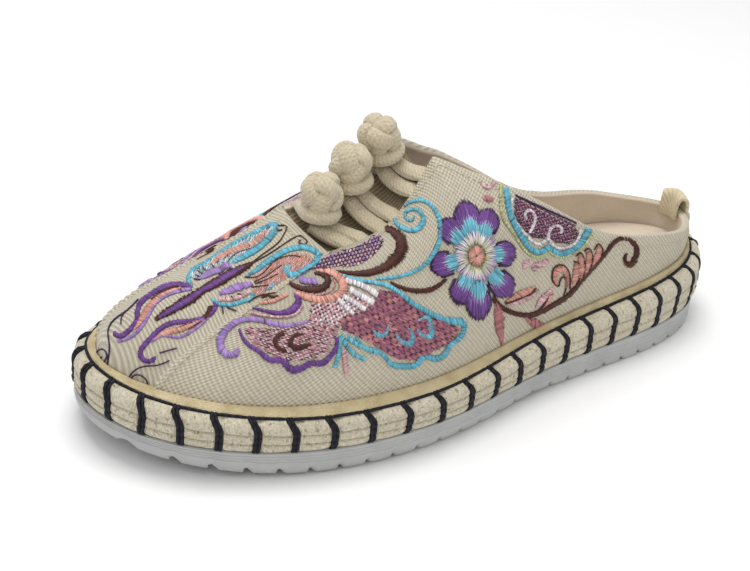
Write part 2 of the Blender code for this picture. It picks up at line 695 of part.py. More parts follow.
def add_heel_tab(finish):
    """Folded tape that straddles the collar at the back and stands over it as a pull tab."""
    at = np.array([AT[-1] - ROUND, AT[0], AT[1]])
    gap = 0.0004
    out = canvas_normal(at, [0.5])[:, 0]
    out[:, 2] = 0
    out /= np.linalg.norm(out, axis=1, keepdims=True)
    low_outer = offset_canvas(at, [0.45], SEAM_STEP)[:, 0]
    rim_outer = offset_canvas(at, [1.0], SEAM_STEP)[:, 0]
    low_inner = offset_canvas(at, [0.80], -WALL)[:, 0]
    rim_inner = offset_canvas(at, [1.0], -WALL)[:, 0]
    rim_top = np.maximum(rim_outer[:, 2], rim_inner[:, 2]) + gap
    up = np.array([0, 0, TAB_RISE])
    top = (rim_outer + rim_inner) / 2 + up
    over_outer = rim_outer + out * gap
    over_inner = rim_inner - out * gap
    over_outer[:, 2] = rim_top
    over_inner[:, 2] = rim_top
    section = [
        low_outer + out * gap, low_outer + out * (gap + TAB_STRIP),
        over_outer + out * TAB_STRIP, top + out * TAB_STRIP,
        top - out * TAB_STRIP, over_inner - out * TAB_STRIP,
        low_inner - out * (gap + TAB_STRIP), low_inner - out * gap,
        over_inner, over_outer,
    ]
    size, rows = len(section), len(at)
    points = np.concatenate([[edge[k] for edge in section] for k in range(rows)])
    faces = [(r * size + i, r * size + (i + 1) % size, (r + 1) * size + (i + 1) % size,
              (r + 1) * size + i) for r in range(rows - 1) for i in range(size)]
    for start in (0, (rows - 1) * size):
        faces.append((start, start + 1, start + 2, start + 9))
        faces.append((start + 2, start + 3, start + 4, start + 5, start + 8, start + 9))
        faces.append((start + 5, start + 6, start + 7, start + 8))
    return add_body("heel_tab", points, faces, finish)


for old in list(bpy.data.objects):
    bpy.data.objects.remove(old, do_unlink=True)

rubber = material("outsole_rubber", (0.60, 0.60, 0.61), 0.6)
foam = material("midsole_foam", (0.70, 0.67, 0.60), 0.8)
cotton = material("band_cotton", (0.68, 0.61, 0.45), 0.85)
leathercloth = material("piping_leathercloth", (0.60, 0.48, 0.27), 0.5)
canvas_cloth = material("upper_canvas", (0.68, 0.61, 0.47), 0.85)
lining = material("insole_lining", (0.60, 0.50, 0.40), 0.8)
elastic = material("gore_elastic", (0.35, 0.27, 0.18), 0.8)
cord_cotton = material("frog_cord", (0.72, 0.64, 0.47), 0.85)
tape = material("tab_tape", (0.72, 0.66, 0.50), 0.8)

add_outsole(rubber)
add_midsole(foam)
add_band(cotton)
add_piping(leathercloth)
add_upper(canvas_cloth)
add_insole(lining)
add_gore(elastic)
for number, place in enumerate(FROGS, start=1):
    add_loop(f"frog_loop_{number}", place, cord_cotton)
    add_knot(f"frog_knot_{number}", place, cord_cotton)
    add_stem(f"frog_stem_{number}", place, cord_cotton)
add_heel_tab(tape)
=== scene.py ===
"""Looks of an embroidered mule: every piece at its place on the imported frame, in metres."""

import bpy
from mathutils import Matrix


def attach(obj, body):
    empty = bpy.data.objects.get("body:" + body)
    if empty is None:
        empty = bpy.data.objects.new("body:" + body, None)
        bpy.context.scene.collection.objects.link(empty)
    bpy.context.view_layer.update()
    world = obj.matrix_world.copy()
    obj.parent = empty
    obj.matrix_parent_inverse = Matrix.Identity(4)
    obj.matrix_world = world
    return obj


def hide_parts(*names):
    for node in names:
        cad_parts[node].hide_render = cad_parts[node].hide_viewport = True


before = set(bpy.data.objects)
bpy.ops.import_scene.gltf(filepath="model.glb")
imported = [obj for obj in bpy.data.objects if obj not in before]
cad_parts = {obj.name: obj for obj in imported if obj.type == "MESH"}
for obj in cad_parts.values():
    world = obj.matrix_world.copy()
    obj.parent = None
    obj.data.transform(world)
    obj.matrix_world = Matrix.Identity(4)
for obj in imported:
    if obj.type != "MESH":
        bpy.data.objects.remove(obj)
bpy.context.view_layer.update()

import bpy
import bmesh
import numpy as np
from mathutils import Matrix, Vector
from mathutils.bvhtree import BVHTree

# View and light
# The shoe stands on a plain pale floor under soft studio light. The camera was fitted to the
# photo, so a pixel of the photo can be traced back to a place on the shoe.
TURN, RISE, ROLL = np.radians([230.748, 26.535, 6.805])
EYE_DISTANCE = 0.550
PHOTO_WIDTH, PHOTO_HEIGHT = 750, 571
FOCAL_PIXELS = 1589.77
SENSOR_MM = 36.0
level_right = np.array([np.cos(TURN), np.sin(TURN), 0.0])
back = np.array([np.sin(TURN) * np.cos(RISE), -np.cos(TURN) * np.cos(RISE), np.sin(RISE)])
level_up = np.cross(back, level_right)
eye_right = level_right * np.cos(ROLL) + level_up * np.sin(ROLL)
eye_up = level_up * np.cos(ROLL) - level_right * np.sin(ROLL)
aim = np.array([0.0024, 0.0026, 0.0300]) - 0.0164 * level_right - 0.0024 * level_up
eye = aim + EYE_DISTANCE * back


def place_matrix(x_axis, y_axis, z_axis, place):
    """World matrix whose columns are three directions and a place."""
    matrix = np.eye(4)
    matrix[:3] = np.column_stack([x_axis, y_axis, z_axis, place])
    return Matrix(matrix.tolist())


def unit(vectors):
    """Vectors brought to a length of one."""
    return vectors / np.linalg.norm(vectors, axis=-1, keepdims=True)


def add_soft_light(name, place, size, power):
    """Square area light that looks at the shoe."""
    place = np.array(place)
    facing = unit(place)
    side = unit(np.cross([0, 0, 1], facing))
    data = bpy.data.lights.new(name, "AREA")
    data.size = size
    data.energy = power
    light = bpy.data.objects.new(name, data)
    light.matrix_world = place_matrix(side, np.cross(facing, side), facing, place)
    bpy.context.collection.objects.link(light)


def linear(red, green, blue):
    """A colour given in the screen's 0 to 255, as the linear values that shaders take."""
    value = np.array([red, green, blue]) / 255
    value = np.where(value > 0.04045, ((value + 0.055) / 1.055) ** 2.4, value / 12.92)
    return (*value.tolist(), 1.0)


camera_data = bpy.data.cameras.new("photo_camera")
camera_data.sensor_fit = "HORIZONTAL"
camera_data.sensor_width = SENSOR_MM
camera_data.lens = FOCAL_PIXELS * SENSOR_MM / PHOTO_WIDTH
camera = bpy.data.objects.new("photo_camera", camera_data)
camera.matrix_world = place_matrix(eye_right, eye_up, back, eye)
bpy.context.collection.objects.link(camera)
bpy.context.scene.camera = camera

add_soft_light("window_left", (-0.75, 0.85, 1.15), 1.1, 5.5)
add_soft_light("window_right", (-1.00, -0.75, 0.75), 0.9, 2.2)
add_soft_light("lamp_above", (0.30, 0.05, 1.35), 0.9, 13.0)
world = bpy.data.worlds.new("studio")
world.use_nodes = True
world.node_tree.nodes["Background"].inputs["Color"].default_value = (1, 1, 1, 1)
world.node_tree.nodes["Background"].inputs["Strength"].default_value = 0.42
bpy.context.scene.world = world
bpy.context.scene.view_settings.view_transform = "Standard"

FLOOR_REACH = 4.0
floor_mesh = bpy.data.meshes.new("floor")
floor_mesh.from_pydata([(-FLOOR_REACH, -FLOOR_REACH, 0), (FLOOR_REACH, -FLOOR_REACH, 0),
                        (FLOOR_REACH, FLOOR_REACH, 0), (-FLOOR_REACH, FLOOR_REACH, 0)],
                       [], [(0, 1, 2, 3)])
floor = bpy.data.objects.new("floor", floor_mesh)
bpy.context.collection.objects.link(floor)
paper = bpy.data.materials.new("studio_paper")
paper.use_nodes = True
paper.node_tree.nodes["Principled BSDF"].inputs["Base Color"].default_value = (0.93, 0.93, 0.93, 1)
paper.node_tree.nodes["Principled BSDF"].inputs["Roughness"].default_value = 0.9
floor_mesh.materials.append(paper)

# Outsole
# One moulded piece of light grey rubber. Its underside is grooved across into saw-toothed lugs,
# its lower edge is rounded, and three fine lines run along its side.
LENGTH = 0.2595
BALL_WIDTH = 0.098
OUTSOLE_HEIGHT = 0.0093
BAND_HEIGHT = 0.0104
BAND_THICKNESS = 0.0047
HEEL_RISE = 0.0075
TOE_SPRING = 0.0065
ARCH_HEIGHT = 0.0010
OUTSOLE_INSET = 0.0008
BALL_EDGE_ROUND = 0.0042
HEEL_EDGE_ROUND = 0.0012
LUG_PITCH = 0.0096
LUG_DEPTH = 0.0020
LUG_MOUTH = 0.0030
GAP = 0.0003
SIDE_LINES = (0.30, 0.52, 0.74)   # shares of the side's height
SIDE_LINE_DEPTH = 0.00025
SIDE_LINE_WIDTH = 0.06            # share of the side's height
# Outline of the sole from the heel along the outer side, round the toe and back: shares of
# LENGTH from the heel, and of BALL_WIDTH across, minus to the outer side
OUTLINE = np.array([
    (0.000, 0.000), (0.049, -0.214), (0.136, -0.321), (0.279, -0.372), (0.433, -0.423),
    (0.586, -0.505), (0.703, -0.515), (0.877, -0.393), (0.973, -0.184), (1.000, 0.051),
    (0.975, 0.245), (0.884, 0.413), (0.734, 0.469), (0.586, 0.418), (0.433, 0.342),
    (0.279, 0.316), (0.133, 0.321), (0.045, 0.214),
])


def spline(knots, values, at, closed=False):
    """Cubic spline through values at knots, read at the places at: points and slopes.

    The second derivatives at the knots solve the usual three-term equations, round the loop or
    with straight ends.
    """
    steps = np.diff(knots)
    count = len(values)
    matrix = np.eye(count)
    right = np.zeros((count, values.shape[1]))
    rows = np.arange(count) if closed else np.arange(1, count - 1)
    before, after = steps[rows - 1], steps[rows % len(steps)]
    matrix[rows, rows] = 2 * (before + after)
    matrix[rows, rows - 1] = before
    matrix[rows, (rows + 1) % count] = after
    right[rows] = 6 * ((values[(rows + 1) % count] - values[rows]) / after[:, None]
                       - (values[rows] - values[rows - 1]) / before[:, None])
    bends = np.linalg.solve(matrix, right)
    if closed:
        values = np.vstack([values, values[:1]])
        bends = np.vstack([bends, bends[:1]])
    i = np.clip(np.searchsorted(knots, at, side="right") - 1, 0, len(knots) - 2)
    step = (knots[i + 1] - knots[i])[:, None]
    a = (knots[i + 1] - at)[:, None] / step
    b = 1 - a
    points = a * values[i] + b * values[i + 1]
    points += ((a ** 3 - a) * bends[i] + (b ** 3 - b) * bends[i + 1]) * step ** 2 / 6
    slopes = (values[i + 1] - values[i]) / step
    slopes += ((3 * b * b - 1) * bends[i + 1] - (3 * a * a - 1) * bends[i]) * step / 6
    return points, slopes


def run_lengths(points):
    """Length along a path at each of its points."""
    return np.concatenate([[0], np.cumsum(np.linalg.norm(np.diff(points, axis=0), axis=1))])


CORNERS = OUTLINE[:, ::-1] * (BALL_WIDTH, LENGTH)
KNOTS = run_lengths(np.vstack([CORNERS, CORNERS[:1]]))
ROUND = KNOTS[-1]
round_trip = spline(KNOTS, CORNERS, np.linspace(0, ROUND, 721), closed=True)[0]
MIDDLE = (round_trip.min(axis=0) + round_trip.max(axis=0)) / 2


def outline(at):
    """Points of the sole's outline, and the directions that point out of it."""
    points, slopes = spline(KNOTS, CORNERS, at % ROUND, closed=True)
    return points - MIDDLE, unit(np.stack([-slopes[:, 1], slopes[:, 0]], axis=1))


def along(y):
    """Share of the length, from the heel."""
    return (y + MIDDLE[1]) / LENGTH


def toe_lift(y):
    """Toe spring: a power of the way from ahead of the ball to the toe."""
    return TOE_SPRING * np.clip((along(y) - 0.726) / 0.27, 0, None) ** 2.2


def floor_level(y):
    """Underside of the outsole: flat at heel and ball, a low arch between, the spring ahead."""
    arch = np.sin(np.pi * np.clip((along(y) - 0.33) / 0.20, 0, 1)) ** 2
    return toe_lift(y) + ARCH_HEIGHT * arch


def outsole_level(y):
    return OUTSOLE_HEIGHT + 0.65 * toe_lift(y)


def surface(points, wrap_rows=False, wrap_columns=False, uv=None):
    """Patch from a grid of points: its points, four corners a face, and each corner's UV.

    The UV is given on the grid with one more row or column where it wraps. Without one it is
    the mean length along the rows and columns, in metres.
    """
    rows, columns = points.shape[:2]
    r, c = np.meshgrid(np.arange(rows if wrap_rows else rows - 1),
                       np.arange(columns if wrap_columns else columns - 1), indexing="ij")
    r, c = r.ravel(), c.ravel()
    corner_row = np.stack([r, r, r + 1, r + 1], axis=1)
    corner_column = np.stack([c, c + 1, c + 1, c], axis=1)
    corners = corner_row % rows * columns + corner_column % columns
    if uv is None:
        whole = np.concatenate([points, points[:1]]) if wrap_rows else points
        whole = np.concatenate([whole, whole[:, :1]], axis=1) if wrap_columns else whole
        across = np.linalg.norm(np.diff(whole, axis=1), axis=2).mean(axis=0)
        upward = np.linalg.norm(np.diff(whole, axis=0), axis=2).mean(axis=1)
        u = np.concatenate([[0], np.cumsum(across)])
        v = np.concatenate([[0], np.cumsum(upward)])
        uv = np.stack(np.broadcast_arrays(u[None, :], v[:, None]), axis=2)
    return points.reshape(-1, 3), corners, uv[corner_row, corner_column]


def add_piece(name, patches, finishes, replaces=(), kinds=None, colours=None, merge=False):
    """Mesh piece from patches: closed, faces outwards, smooth, riding on the shoe's one body.

    finishes is one material or several, and kinds then gives each face's. A corner of -1 makes
    its face a triangle. merge joins points that coincide, where patches or tips meet.
    """
    starts = np.cumsum([0] + [len(p[0]) for p in patches])
    points = np.concatenate([p[0] for p in patches])
    corners = np.concatenate([np.where(p[1] < 0, -1, p[1] + s) for p, s in zip(patches, starts)])
    uv = np.concatenate([p[2] for p in patches])
    used = corners >= 0
    a, b, c = (points[corners[:, k]] for k in (0, 1, 2))
    far = points[np.where(used[:, 3], corners[:, 3], corners[:, 2])]
    middle = points.mean(axis=0)
    volume = np.einsum("ij,ij->i", a - middle, np.cross(b - middle, c - middle))
    volume += np.einsum("ij,ij->i", a - middle, np.cross(c - middle, far - middle))
    if volume.sum() < 0:
        corners, uv, used = corners[:, ::-1], uv[:, ::-1], used[:, ::-1]
    sizes = used.sum(axis=1)
    mesh = bpy.data.meshes.new(name)
    mesh.vertices.add(len(points))
    mesh.vertices.foreach_set("co", points.ravel())
    mesh.loops.add(int(sizes.sum()))
    mesh.loops.foreach_set("vertex_index", corners[used].astype(np.int32))
    mesh.polygons.add(len(sizes))
    mesh.polygons.foreach_set("loop_start", (np.cumsum(sizes) - sizes).astype(np.int32))
    mesh.polygons.foreach_set("use_smooth", np.ones(len(sizes), bool))
    if kinds is not None:
        mesh.polygons.foreach_set("material_index", kinds.astype(np.int32))
    mesh.uv_layers.new(name="cloth").data.foreach_set("uv", uv[used].ravel())
    if colours is not None:
        dye = mesh.attributes.new("thread", "FLOAT_COLOR", "POINT")
        dye.data.foreach_set("color", colours.ravel())
    mesh.update()
    mesh.validate()
    if merge:
        work = bmesh.new()
        work.from_mesh(mesh)
        bmesh.ops.remove_doubles(work, verts=work.verts, dist=1e-6)
        bmesh.ops.recalc_face_normals(work, faces=work.faces)
        work.to_mesh(mesh)
        work.free()
    for finish in finishes if isinstance(finishes, (list, tuple)) else [finishes]:
        mesh.materials.append(finish)
    piece = bpy.data.objects.new(name, mesh)
    bpy.context.collection.objects.link(piece)
    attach(piece, "root")
    if replaces:
        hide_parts(*replaces)
    return piece


def add_node(tree, kind, inputs=(), **settings):
    """Shader node with its settings, and its inputs linked or set."""
    node = tree.nodes.new(kind)
    for key, value in settings.items():
        setattr(node, key, value)
    for key, value in dict(inputs).items():
        if isinstance(value, bpy.types.NodeSocket):
            tree.links.new(value, node.inputs[key])
        else:
            node.inputs[key].default_value = value
    return node


def new_finish(name, roughness, **sockets):
    """Material with a Principled shader: its tree and shader, with constants on its sockets."""
    made = bpy.data.materials.new(name)
    made.use_nodes = True
    shader = made.node_tree.nodes["Principled BSDF"]
    shader.inputs["Roughness"].default_value = roughness
    for key, value in sockets.items():
        shader.inputs[key.replace("_", " ")].default_value = value
    return made, made.node_tree, shader


def coordinates(tree, source="Object"):
    return add_node(tree, "ShaderNodeTexCoord").outputs[source]


def noise(tree, place, size, detail=3.0):
    """Soft noise whose patches are about a size in metres across."""
    node = add_node(tree, "ShaderNodeTexNoise",
                    {"Vector": place, "Scale": 1 / size, "Detail": detail})
    return node.outputs["Fac"]


def math_node(tree, operation, first, second=0.0):
    node = add_node(tree, "ShaderNodeMath", {0: first, 1: second}, operation=operation)
    return node.outputs[0]


def blend_colours(tree, share, low, high):
    """Colour that runs from low to high with a share."""
    node = add_node(tree, "ShaderNodeMix", {"Factor": share}, data_type="RGBA")
    for socket, value in ((node.inputs[6], low), (node.inputs[7], high)):
        if isinstance(value, bpy.types.NodeSocket):
            tree.links.new(value, socket)
        else:
            socket.default_value = value
    return node.outputs[2]


def spread(tree, value, low, high):
    """Share of the way of a value from low to high, held between 0 and 1."""
    node = add_node(tree, "ShaderNodeMapRange",
                    {"Value": value, "From Min": low, "From Max": high})
    return node.outputs["Result"]


def emboss(tree, shader, height, depth, strength=1.0):
    """Bump of a height from 0 to 1 times a depth in metres."""
    bump = add_node(tree, "ShaderNodeBump",
                    {"Height": height, "Distance": depth, "Strength": strength})
    tree.links.new(bump.outputs["Normal"], shader.inputs["Normal"])


def rubber_finish():
    """Light grey rubber: faint mottling, scuffs of dust low down and a fine moulded grain."""
    made, tree, shader = new_finish("grey_rubber", 0.55, Specular_IOR_Level=0.35)
    place = coordinates(tree)
    cloud = noise(tree, place, 0.012)
    colour = blend_colours(tree, cloud, linear(166, 167, 166), linear(190, 191, 190))
    dust = spread(tree, noise(tree, place, 0.0025, 6.0), 0.60, 0.80)
    colour = blend_colours(tree, math_node(tree, "MULTIPLY", dust, 0.35), colour,
                           linear(150, 147, 139))
    tree.links.new(colour, shader.inputs["Base Color"])
    emboss(tree, shader, noise(tree, place, 0.0006, 4.0), 0.00006)
    return made


LUGS = int(LENGTH / LUG_PITCH)
FIRST_LUG = (0.5 - LUGS / 2) * LUG_PITCH + LUG_MOUTH / 2
LUG_FLOOR = 0.35 * LUG_MOUTH
TIP_LENGTH = 0.006          # ends of the sole, where the rows crowd


def groove_depth(y):
    """Depth of the tread groove at y: a steep front, a short floor and a sloping back."""
    phase = (FIRST_LUG - y) % LUG_PITCH
    depth = np.interp(phase, [0, 0.0002, LUG_FLOOR, LUG_MOUTH, LUG_PITCH - 0.0001, LUG_PITCH],
                      [0.5, 1, 1, 0, 0, 0.5])
    tread = (y > FIRST_LUG - LUG_PITCH) & (y < FIRST_LUG + LUGS * LUG_PITCH - LUG_MOUTH)
    return LUG_DEPTH * depth * tread


def paired_places():
    """Places round the outline in pairs at equal y, one on the outer and one on the inner side.

    Rows stand at the tread grooves' corners and twice between them, and crowd quadratically at
    the heel and the toe.
    """
    fine = np.linspace(0, ROUND, 6001)
    y = outline(fine)[0][:, 1]
    heel = fine[np.argmin(y)] if np.argmin(y) < 3000 else fine[np.argmin(y)] - ROUND
    toe = fine[np.argmax(y)]
    lug = np.array([-0.0001, 0.0001, LUG_FLOOR, LUG_MOUTH, 0.0052, 0.0074])
    rows = (FIRST_LUG + np.arange(-1, LUGS + 1)[:, None] * LUG_PITCH - lug).ravel()
    tips = TIP_LENGTH * np.linspace(0.08, 1, 9) ** 2
    rows = rows[(rows > y.min() + tips[-1]) & (rows < y.max() - tips[-1])]
    rows = np.sort(np.concatenate([rows, y.min() + tips, y.max() - tips]))
    outer = np.linspace(heel, toe, 6001)
    inner = np.linspace(toe, heel + ROUND, 6001)
    outer_at = np.interp(rows, outline(outer)[0][:, 1], outer)
    inner_at = np.interp(-rows[::-1], -outline(inner)[0][:, 1], inner)
    return np.concatenate([[heel], outer_at, [toe], inner_at])


def cap(border, columns):
    """Patch that fills a paired ring with straight rows from its outer to its inner side."""
    half = len(border) // 2
    outer = border[:half + 1]
    inner = np.concatenate([border[:1], border[:half - 1:-1]])
    share = np.linspace(0, 1, columns)[None, :, None]
    return outer[:, None] * (1 - share) + inner[:, None] * share


def edge_round(y):
    """Round of the outsole's lower edge, from the heel's to the ball's."""
    share = np.clip((along(y) - 0.2) / 0.4, 0, 1)
    return HEEL_EDGE_ROUND + (BALL_EDGE_ROUND - HEEL_EDGE_ROUND) * share


def add_outsole():
    """Rings round the side from the tread's edge to the top, and a cap below and above."""
    at = paired_places()
    foot, out = outline(at)
    rounding = edge_round(foot[:, 1])
    floor_z, top_z = floor_level(foot[:, 1]), outsole_level(foot[:, 1])
    rings = []
    for angle in np.radians([0, 18, 36, 54, 72, 90]):
        rings.append((rounding * (1 - np.sin(angle)), floor_z + rounding * (1 - np.cos(angle))))
    for share in np.linspace(0.06, 0.94, 27):
        line = sum(np.exp(-((share - s) / SIDE_LINE_WIDTH * 2) ** 2) for s in SIDE_LINES)
        start = floor_z + rounding
        rings.append((np.full(len(at), SIDE_LINE_DEPTH * line), start + (top_z - start) * share))
    rings += [(np.full(len(at), 0.0001), top_z - 0.0002), (np.full(len(at), 0.0004), top_z)]
    grid = []
    for inset, z in rings:
        inset = inset + OUTSOLE_INSET
        lift = groove_depth(foot[:, 1]) * np.clip(1 - (z - floor_z) / (top_z - floor_z), 0, 1) ** 1.5
        grid.append(np.column_stack([foot - out * inset[:, None], z + lift]))
    grid = np.array(grid)
    return add_piece("outsole_rubber", [surface(grid, wrap_columns=True), surface(cap(grid[0], 17)),
                                        surface(cap(grid[-1], 3))],
                     rubber_finish(), ["outsole"], merge=True)


add_outsole()

# Midsole
# A foam platform that the cotton band wraps. Nothing of it shows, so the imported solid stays,
# with an even pale foam finish.


def foam_finish():
    """Pale foam with small closed cells, each cell's hollow painted a little darker, a painted shade.
    """
    made, tree, shader = new_finish("pale_foam", 0.85)
    place = coordinates(tree)
    cells = add_node(tree, "ShaderNodeTexVoronoi", {"Vector": place, "Scale": 900.0})
    # Painted shade: the colour is darkest at each cell's middle, where the bump is lowest.
    colour = blend_colours(tree, cells.outputs["Distance"], linear(206, 200, 186),
                           linear(226, 221, 208))
    tree.links.new(colour, shader.inputs["Base Color"])
    emboss(tree, shader, cells.outputs["Distance"], 0.0002)
    return made


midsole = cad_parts["midsole"]
midsole.data.materials.clear()
midsole.data.materials.append(foam_finish())

# Foxing band
# A ribbed cotton band glued round the platform. It bulges between the blanket stitches, which
# pull it in and notch its top edge, and fine lines run along it.
STITCHES = 47
BAND_SWELL = 0.0014
BAND_SHOULDER = 0.0012                  # how much more the top edge rounds over
BAND_BRIM = 0.0062                      # how far in its top reaches, under the piping
BAND_LINES = (0.28, 0.57)               # shares of the band's height
BAND_LINE_DEPTH = 0.0008
BAND_LINE_WIDTH = 0.00032
BAND_WAVER = 0.00022
BAND_STATIONS = 28 * STITCHES
STITCH_PULL = 0.0009                    # how deep a stitch draws the band in
STITCH_NOTCH = 0.0008                   # how deep it draws the top edge down
STITCH_REACH = 0.0019                   # how far to each side it shows
# The stitches are even but for a drift towards the toe at the ball, as the photo shows
STITCH_DRIFT = 0.0042
DRIFT_PLACE = KNOTS[9] - 0.085
DRIFT_REACH = 0.042
STITCH_PLACES = (KNOTS[9] + np.arange(STITCHES) * ROUND / STITCHES) % ROUND
STITCH_PLACES = STITCH_PLACES + STITCH_DRIFT * np.exp(
    -((STITCH_PLACES - DRIFT_PLACE) / DRIFT_REACH) ** 2)


def band_level(y):
    """Top of the band: over the outsole, lifted with the toe, and rising to the heel."""
    heel = HEEL_RISE * np.clip((0.63 - along(y)) / 0.63, 0, 1) ** 1.5
    return OUTSOLE_HEIGHT + GAP + BAND_HEIGHT + 0.8 * toe_lift(y) + heel


def from_stitch(at):
    """Distance round the outline to the nearest blanket stitch."""
    apart = (at[:, None] - STITCH_PLACES + ROUND / 2) % ROUND - ROUND / 2
    return np.abs(apart).min(axis=1)


def band_face(at, share, proud=0.0):
    """Grid on the band's outer face, at places round and shares up, moved out by proud.

    The inset grows with the fifth power towards top and bottom, and more at the top's shoulder.
    It dips at each line, sinks by a bell curve of the distance to the nearest stitch, and
    wavers a little all over.
    """
    foot, out = outline(at)
    share = np.atleast_1d(share)[:, None]
    pull = np.exp(-(from_stitch(at) / STITCH_REACH) ** 2)[None, :]
    rim = np.abs(2 * share - 1)
    inset = BAND_SWELL * rim ** 5 + STITCH_PULL * pull * (1 - 0.4 * rim)
    inset = inset + BAND_SHOULDER * np.clip(share * 2 - 1, 0, 1) ** 4
    lines = sum(np.exp(-((share - s) * BAND_HEIGHT / BAND_LINE_WIDTH) ** 2) for s in BAND_LINES)
    inset = inset + BAND_LINE_DEPTH * lines * (1 - 0.5 * pull)
    waver = BAND_WAVER * np.sin(at * 310)[None, :] * np.sin(share * 5 + at[None, :] * 140)
    inset = inset + waver - proud
    low = outsole_level(foot[:, 1]) + GAP
    high = band_level(foot[:, 1])
    z = low + (high - low) * share
    z = z - STITCH_NOTCH * pull * np.clip(share * 2 - 1, 0, 1) ** 3
    points = np.zeros(z.shape + (3,))
    points[..., :2] = foot - out * inset[..., None]
    points[..., 2] = z
    return points


WAVE_PERIOD = 0.314                     # the wave node's own period, in its units


def waves(tree, place, pitch, axis="X", wander=0.0, fineness=1.0):
    """Rounded ribs a pitch apart along an axis, from 0 to 1, that wander a little."""
    node = add_node(tree, "ShaderNodeTexWave",
                    {"Vector": place, "Scale": WAVE_PERIOD / pitch, "Distortion": wander,
                     "Detail Scale": fineness}, bands_direction=axis)
    return node.outputs["Fac"]


def times(tree, value, factor):
    return math_node(tree, "MULTIPLY", value, factor)


def ribbed_cotton_finish():
    """Cream cotton: cross ribs, uneven yarn, and brown flecks of seed husk."""
    made, tree, shader = new_finish("ribbed_cotton", 0.9, Sheen_Weight=0.25)
    ribs = waves(tree, coordinates(tree, "UV"), 0.00085, wander=1.2, fineness=2.0)
    place = coordinates(tree)
    yarn = noise(tree, place, 0.0009, 6.0)
    cloud = noise(tree, place, 0.011)
    colour = blend_colours(tree, cloud, linear(208, 198, 172), linear(230, 223, 203))
    colour = blend_colours(tree, times(tree, spread(tree, yarn, 0.35, 0.7), 0.6), colour,
                           linear(160, 147, 118))
    flecks = spread(tree, noise(tree, place, 0.0012, 1.0), 0.64, 0.70)
    colour = blend_colours(tree, times(tree, flecks, 0.6), colour, linear(122, 100, 74))
    tree.links.new(colour, shader.inputs["Base Color"])
    emboss(tree, shader, math_node(tree, "ADD", times(tree, ribs, 0.5), yarn), 0.0004)
    return made


def add_band():
    """Rows up the outer face, closer at its lines, over the top edge, and down the hidden back."""
    at = np.arange(BAND_STATIONS) * ROUND / BAND_STATIONS
    rise = (1 - np.cos(np.linspace(0, np.pi, 27))) / 2
    beside = np.array([-2.2, -1.1, -0.5, 0, 0.5, 1.1, 2.2]) * BAND_LINE_WIDTH / BAND_HEIGHT
    grooves = [line + beside for line in BAND_LINES]
    face = band_face(at, np.sort(np.concatenate([rise] + grooves)))
    foot, out = outline(at)
    inner = foot - out * BAND_THICKNESS
    lip = foot - out * (0.70 * BAND_THICKNESS)
    top = band_level(foot[:, 1])
    low = outsole_level(foot[:, 1]) + GAP
    brim = foot - out * BAND_BRIM
    back_rows = [np.column_stack([lip, (face[-1, :, 2] + top) / 2 + 0.0001]),
                 np.column_stack([brim, top]), np.column_stack([inner, top - 0.0010]),
                 np.column_stack([inner, low])]
    grid = np.concatenate([face, back_rows])
    return add_piece("band_cotton", [surface(grid, wrap_rows=True, wrap_columns=True)],
                     ribbed_cotton_finish(), ["foxing_band"])


add_band()

# Blanket stitching
# Waxed cord, nearly black, in two strands side by side. Each bar comes up between outsole and
# band and goes over the top edge, where it catches the strand that runs on to the next bar.
STRAND_RADIUS = 0.00068
STRAND_SPREAD = 0.00058     # from a bar's middle to each strand's
STRAND_STAND = 0.0005       # from the piping's edge out to the strand beside it
BAR_HOOK = 0.0021           # how far a bar's top swings along the edge
BAR_TUCK = 0.0012           # how far its foot goes in under the band


def piping_edge(y):
    """How far in from the outline the piping ends: near at the ball, further at heel and toe."""
    return np.interp(along(y), [0, 0.35, 0.60, 0.80, 0.93, 1.0],
                     [0.0054, 0.0052, 0.0034, 0.0031, 0.0042, 0.0048])


def tubes(paths, normals, width, height, sides):
    """Closed tubes along many paths of equal count: one patch.

    A ring of points stands at each place of a path, an ellipse of half width across and half
    height along the normal, each one number or a row of them for each place. A point at each
    end closes it. The UV is the length along the path, and the way round it.
    """
    many, count = paths.shape[:2]
    ahead = unit(np.gradient(paths, axis=1))
    side = unit(np.cross(ahead, normals))
    rise = np.cross(side, ahead)
    angle = 2 * np.pi * np.arange(sides) / sides
    rings = (paths[:, :, None] + side[:, :, None] * (width * np.cos(angle))[..., None]
             + rise[:, :, None] * (height * np.sin(angle))[..., None])
    size = count * sides + 2
    points = np.concatenate([rings.reshape(many, -1, 3), paths[:, :1], paths[:, -1:]], axis=1)
    r, k = np.meshgrid(np.arange(count - 1), np.arange(sides), indexing="ij")
    r, k = r.ravel(), k.ravel()
    quads = np.stack([r * sides + k, r * sides + (k + 1) % sides,
                      (r + 1) * sides + (k + 1) % sides, (r + 1) * sides + k], axis=1)
    k = np.arange(sides)
    last = (count - 1) * sides
    start_cap = np.stack([np.full(sides, size - 2), (k + 1) % sides, k, np.full(sides, -1)], axis=1)
    end_cap = np.stack([np.full(sides, size - 1), last + k, last + (k + 1) % sides,
                        np.full(sides, -1)], axis=1)
    faces = np.concatenate([quads, start_cap, end_cap])
    length = np.zeros((many, count))
    length[:, 1:] = np.cumsum(np.linalg.norm(np.diff(paths, axis=1), axis=2), axis=1)
    round_uv = np.stack([k / sides, (k + 1) / sides], axis=1)
    uv = np.zeros((many, len(faces), 4, 2))
    ring = np.repeat(np.arange(count - 1), sides)
    uv[:, :len(quads), :2, 0] = length[:, ring, None]
    uv[:, :len(quads), 2:, 0] = length[:, ring + 1, None]
    uv[:, :len(quads), :, 1] = np.tile(round_uv, (count - 1, 1))[None][..., [0, 1, 1, 0]]
    uv[:, -sides:, :, 0] = length[:, -1, None, None]
    offset = (np.arange(many) * size)[:, None, None]
    faces = np.where(faces < 0, -1, faces + offset).reshape(-1, 4)
    return points.reshape(-1, 3), faces, uv.reshape(-1, 4, 2)


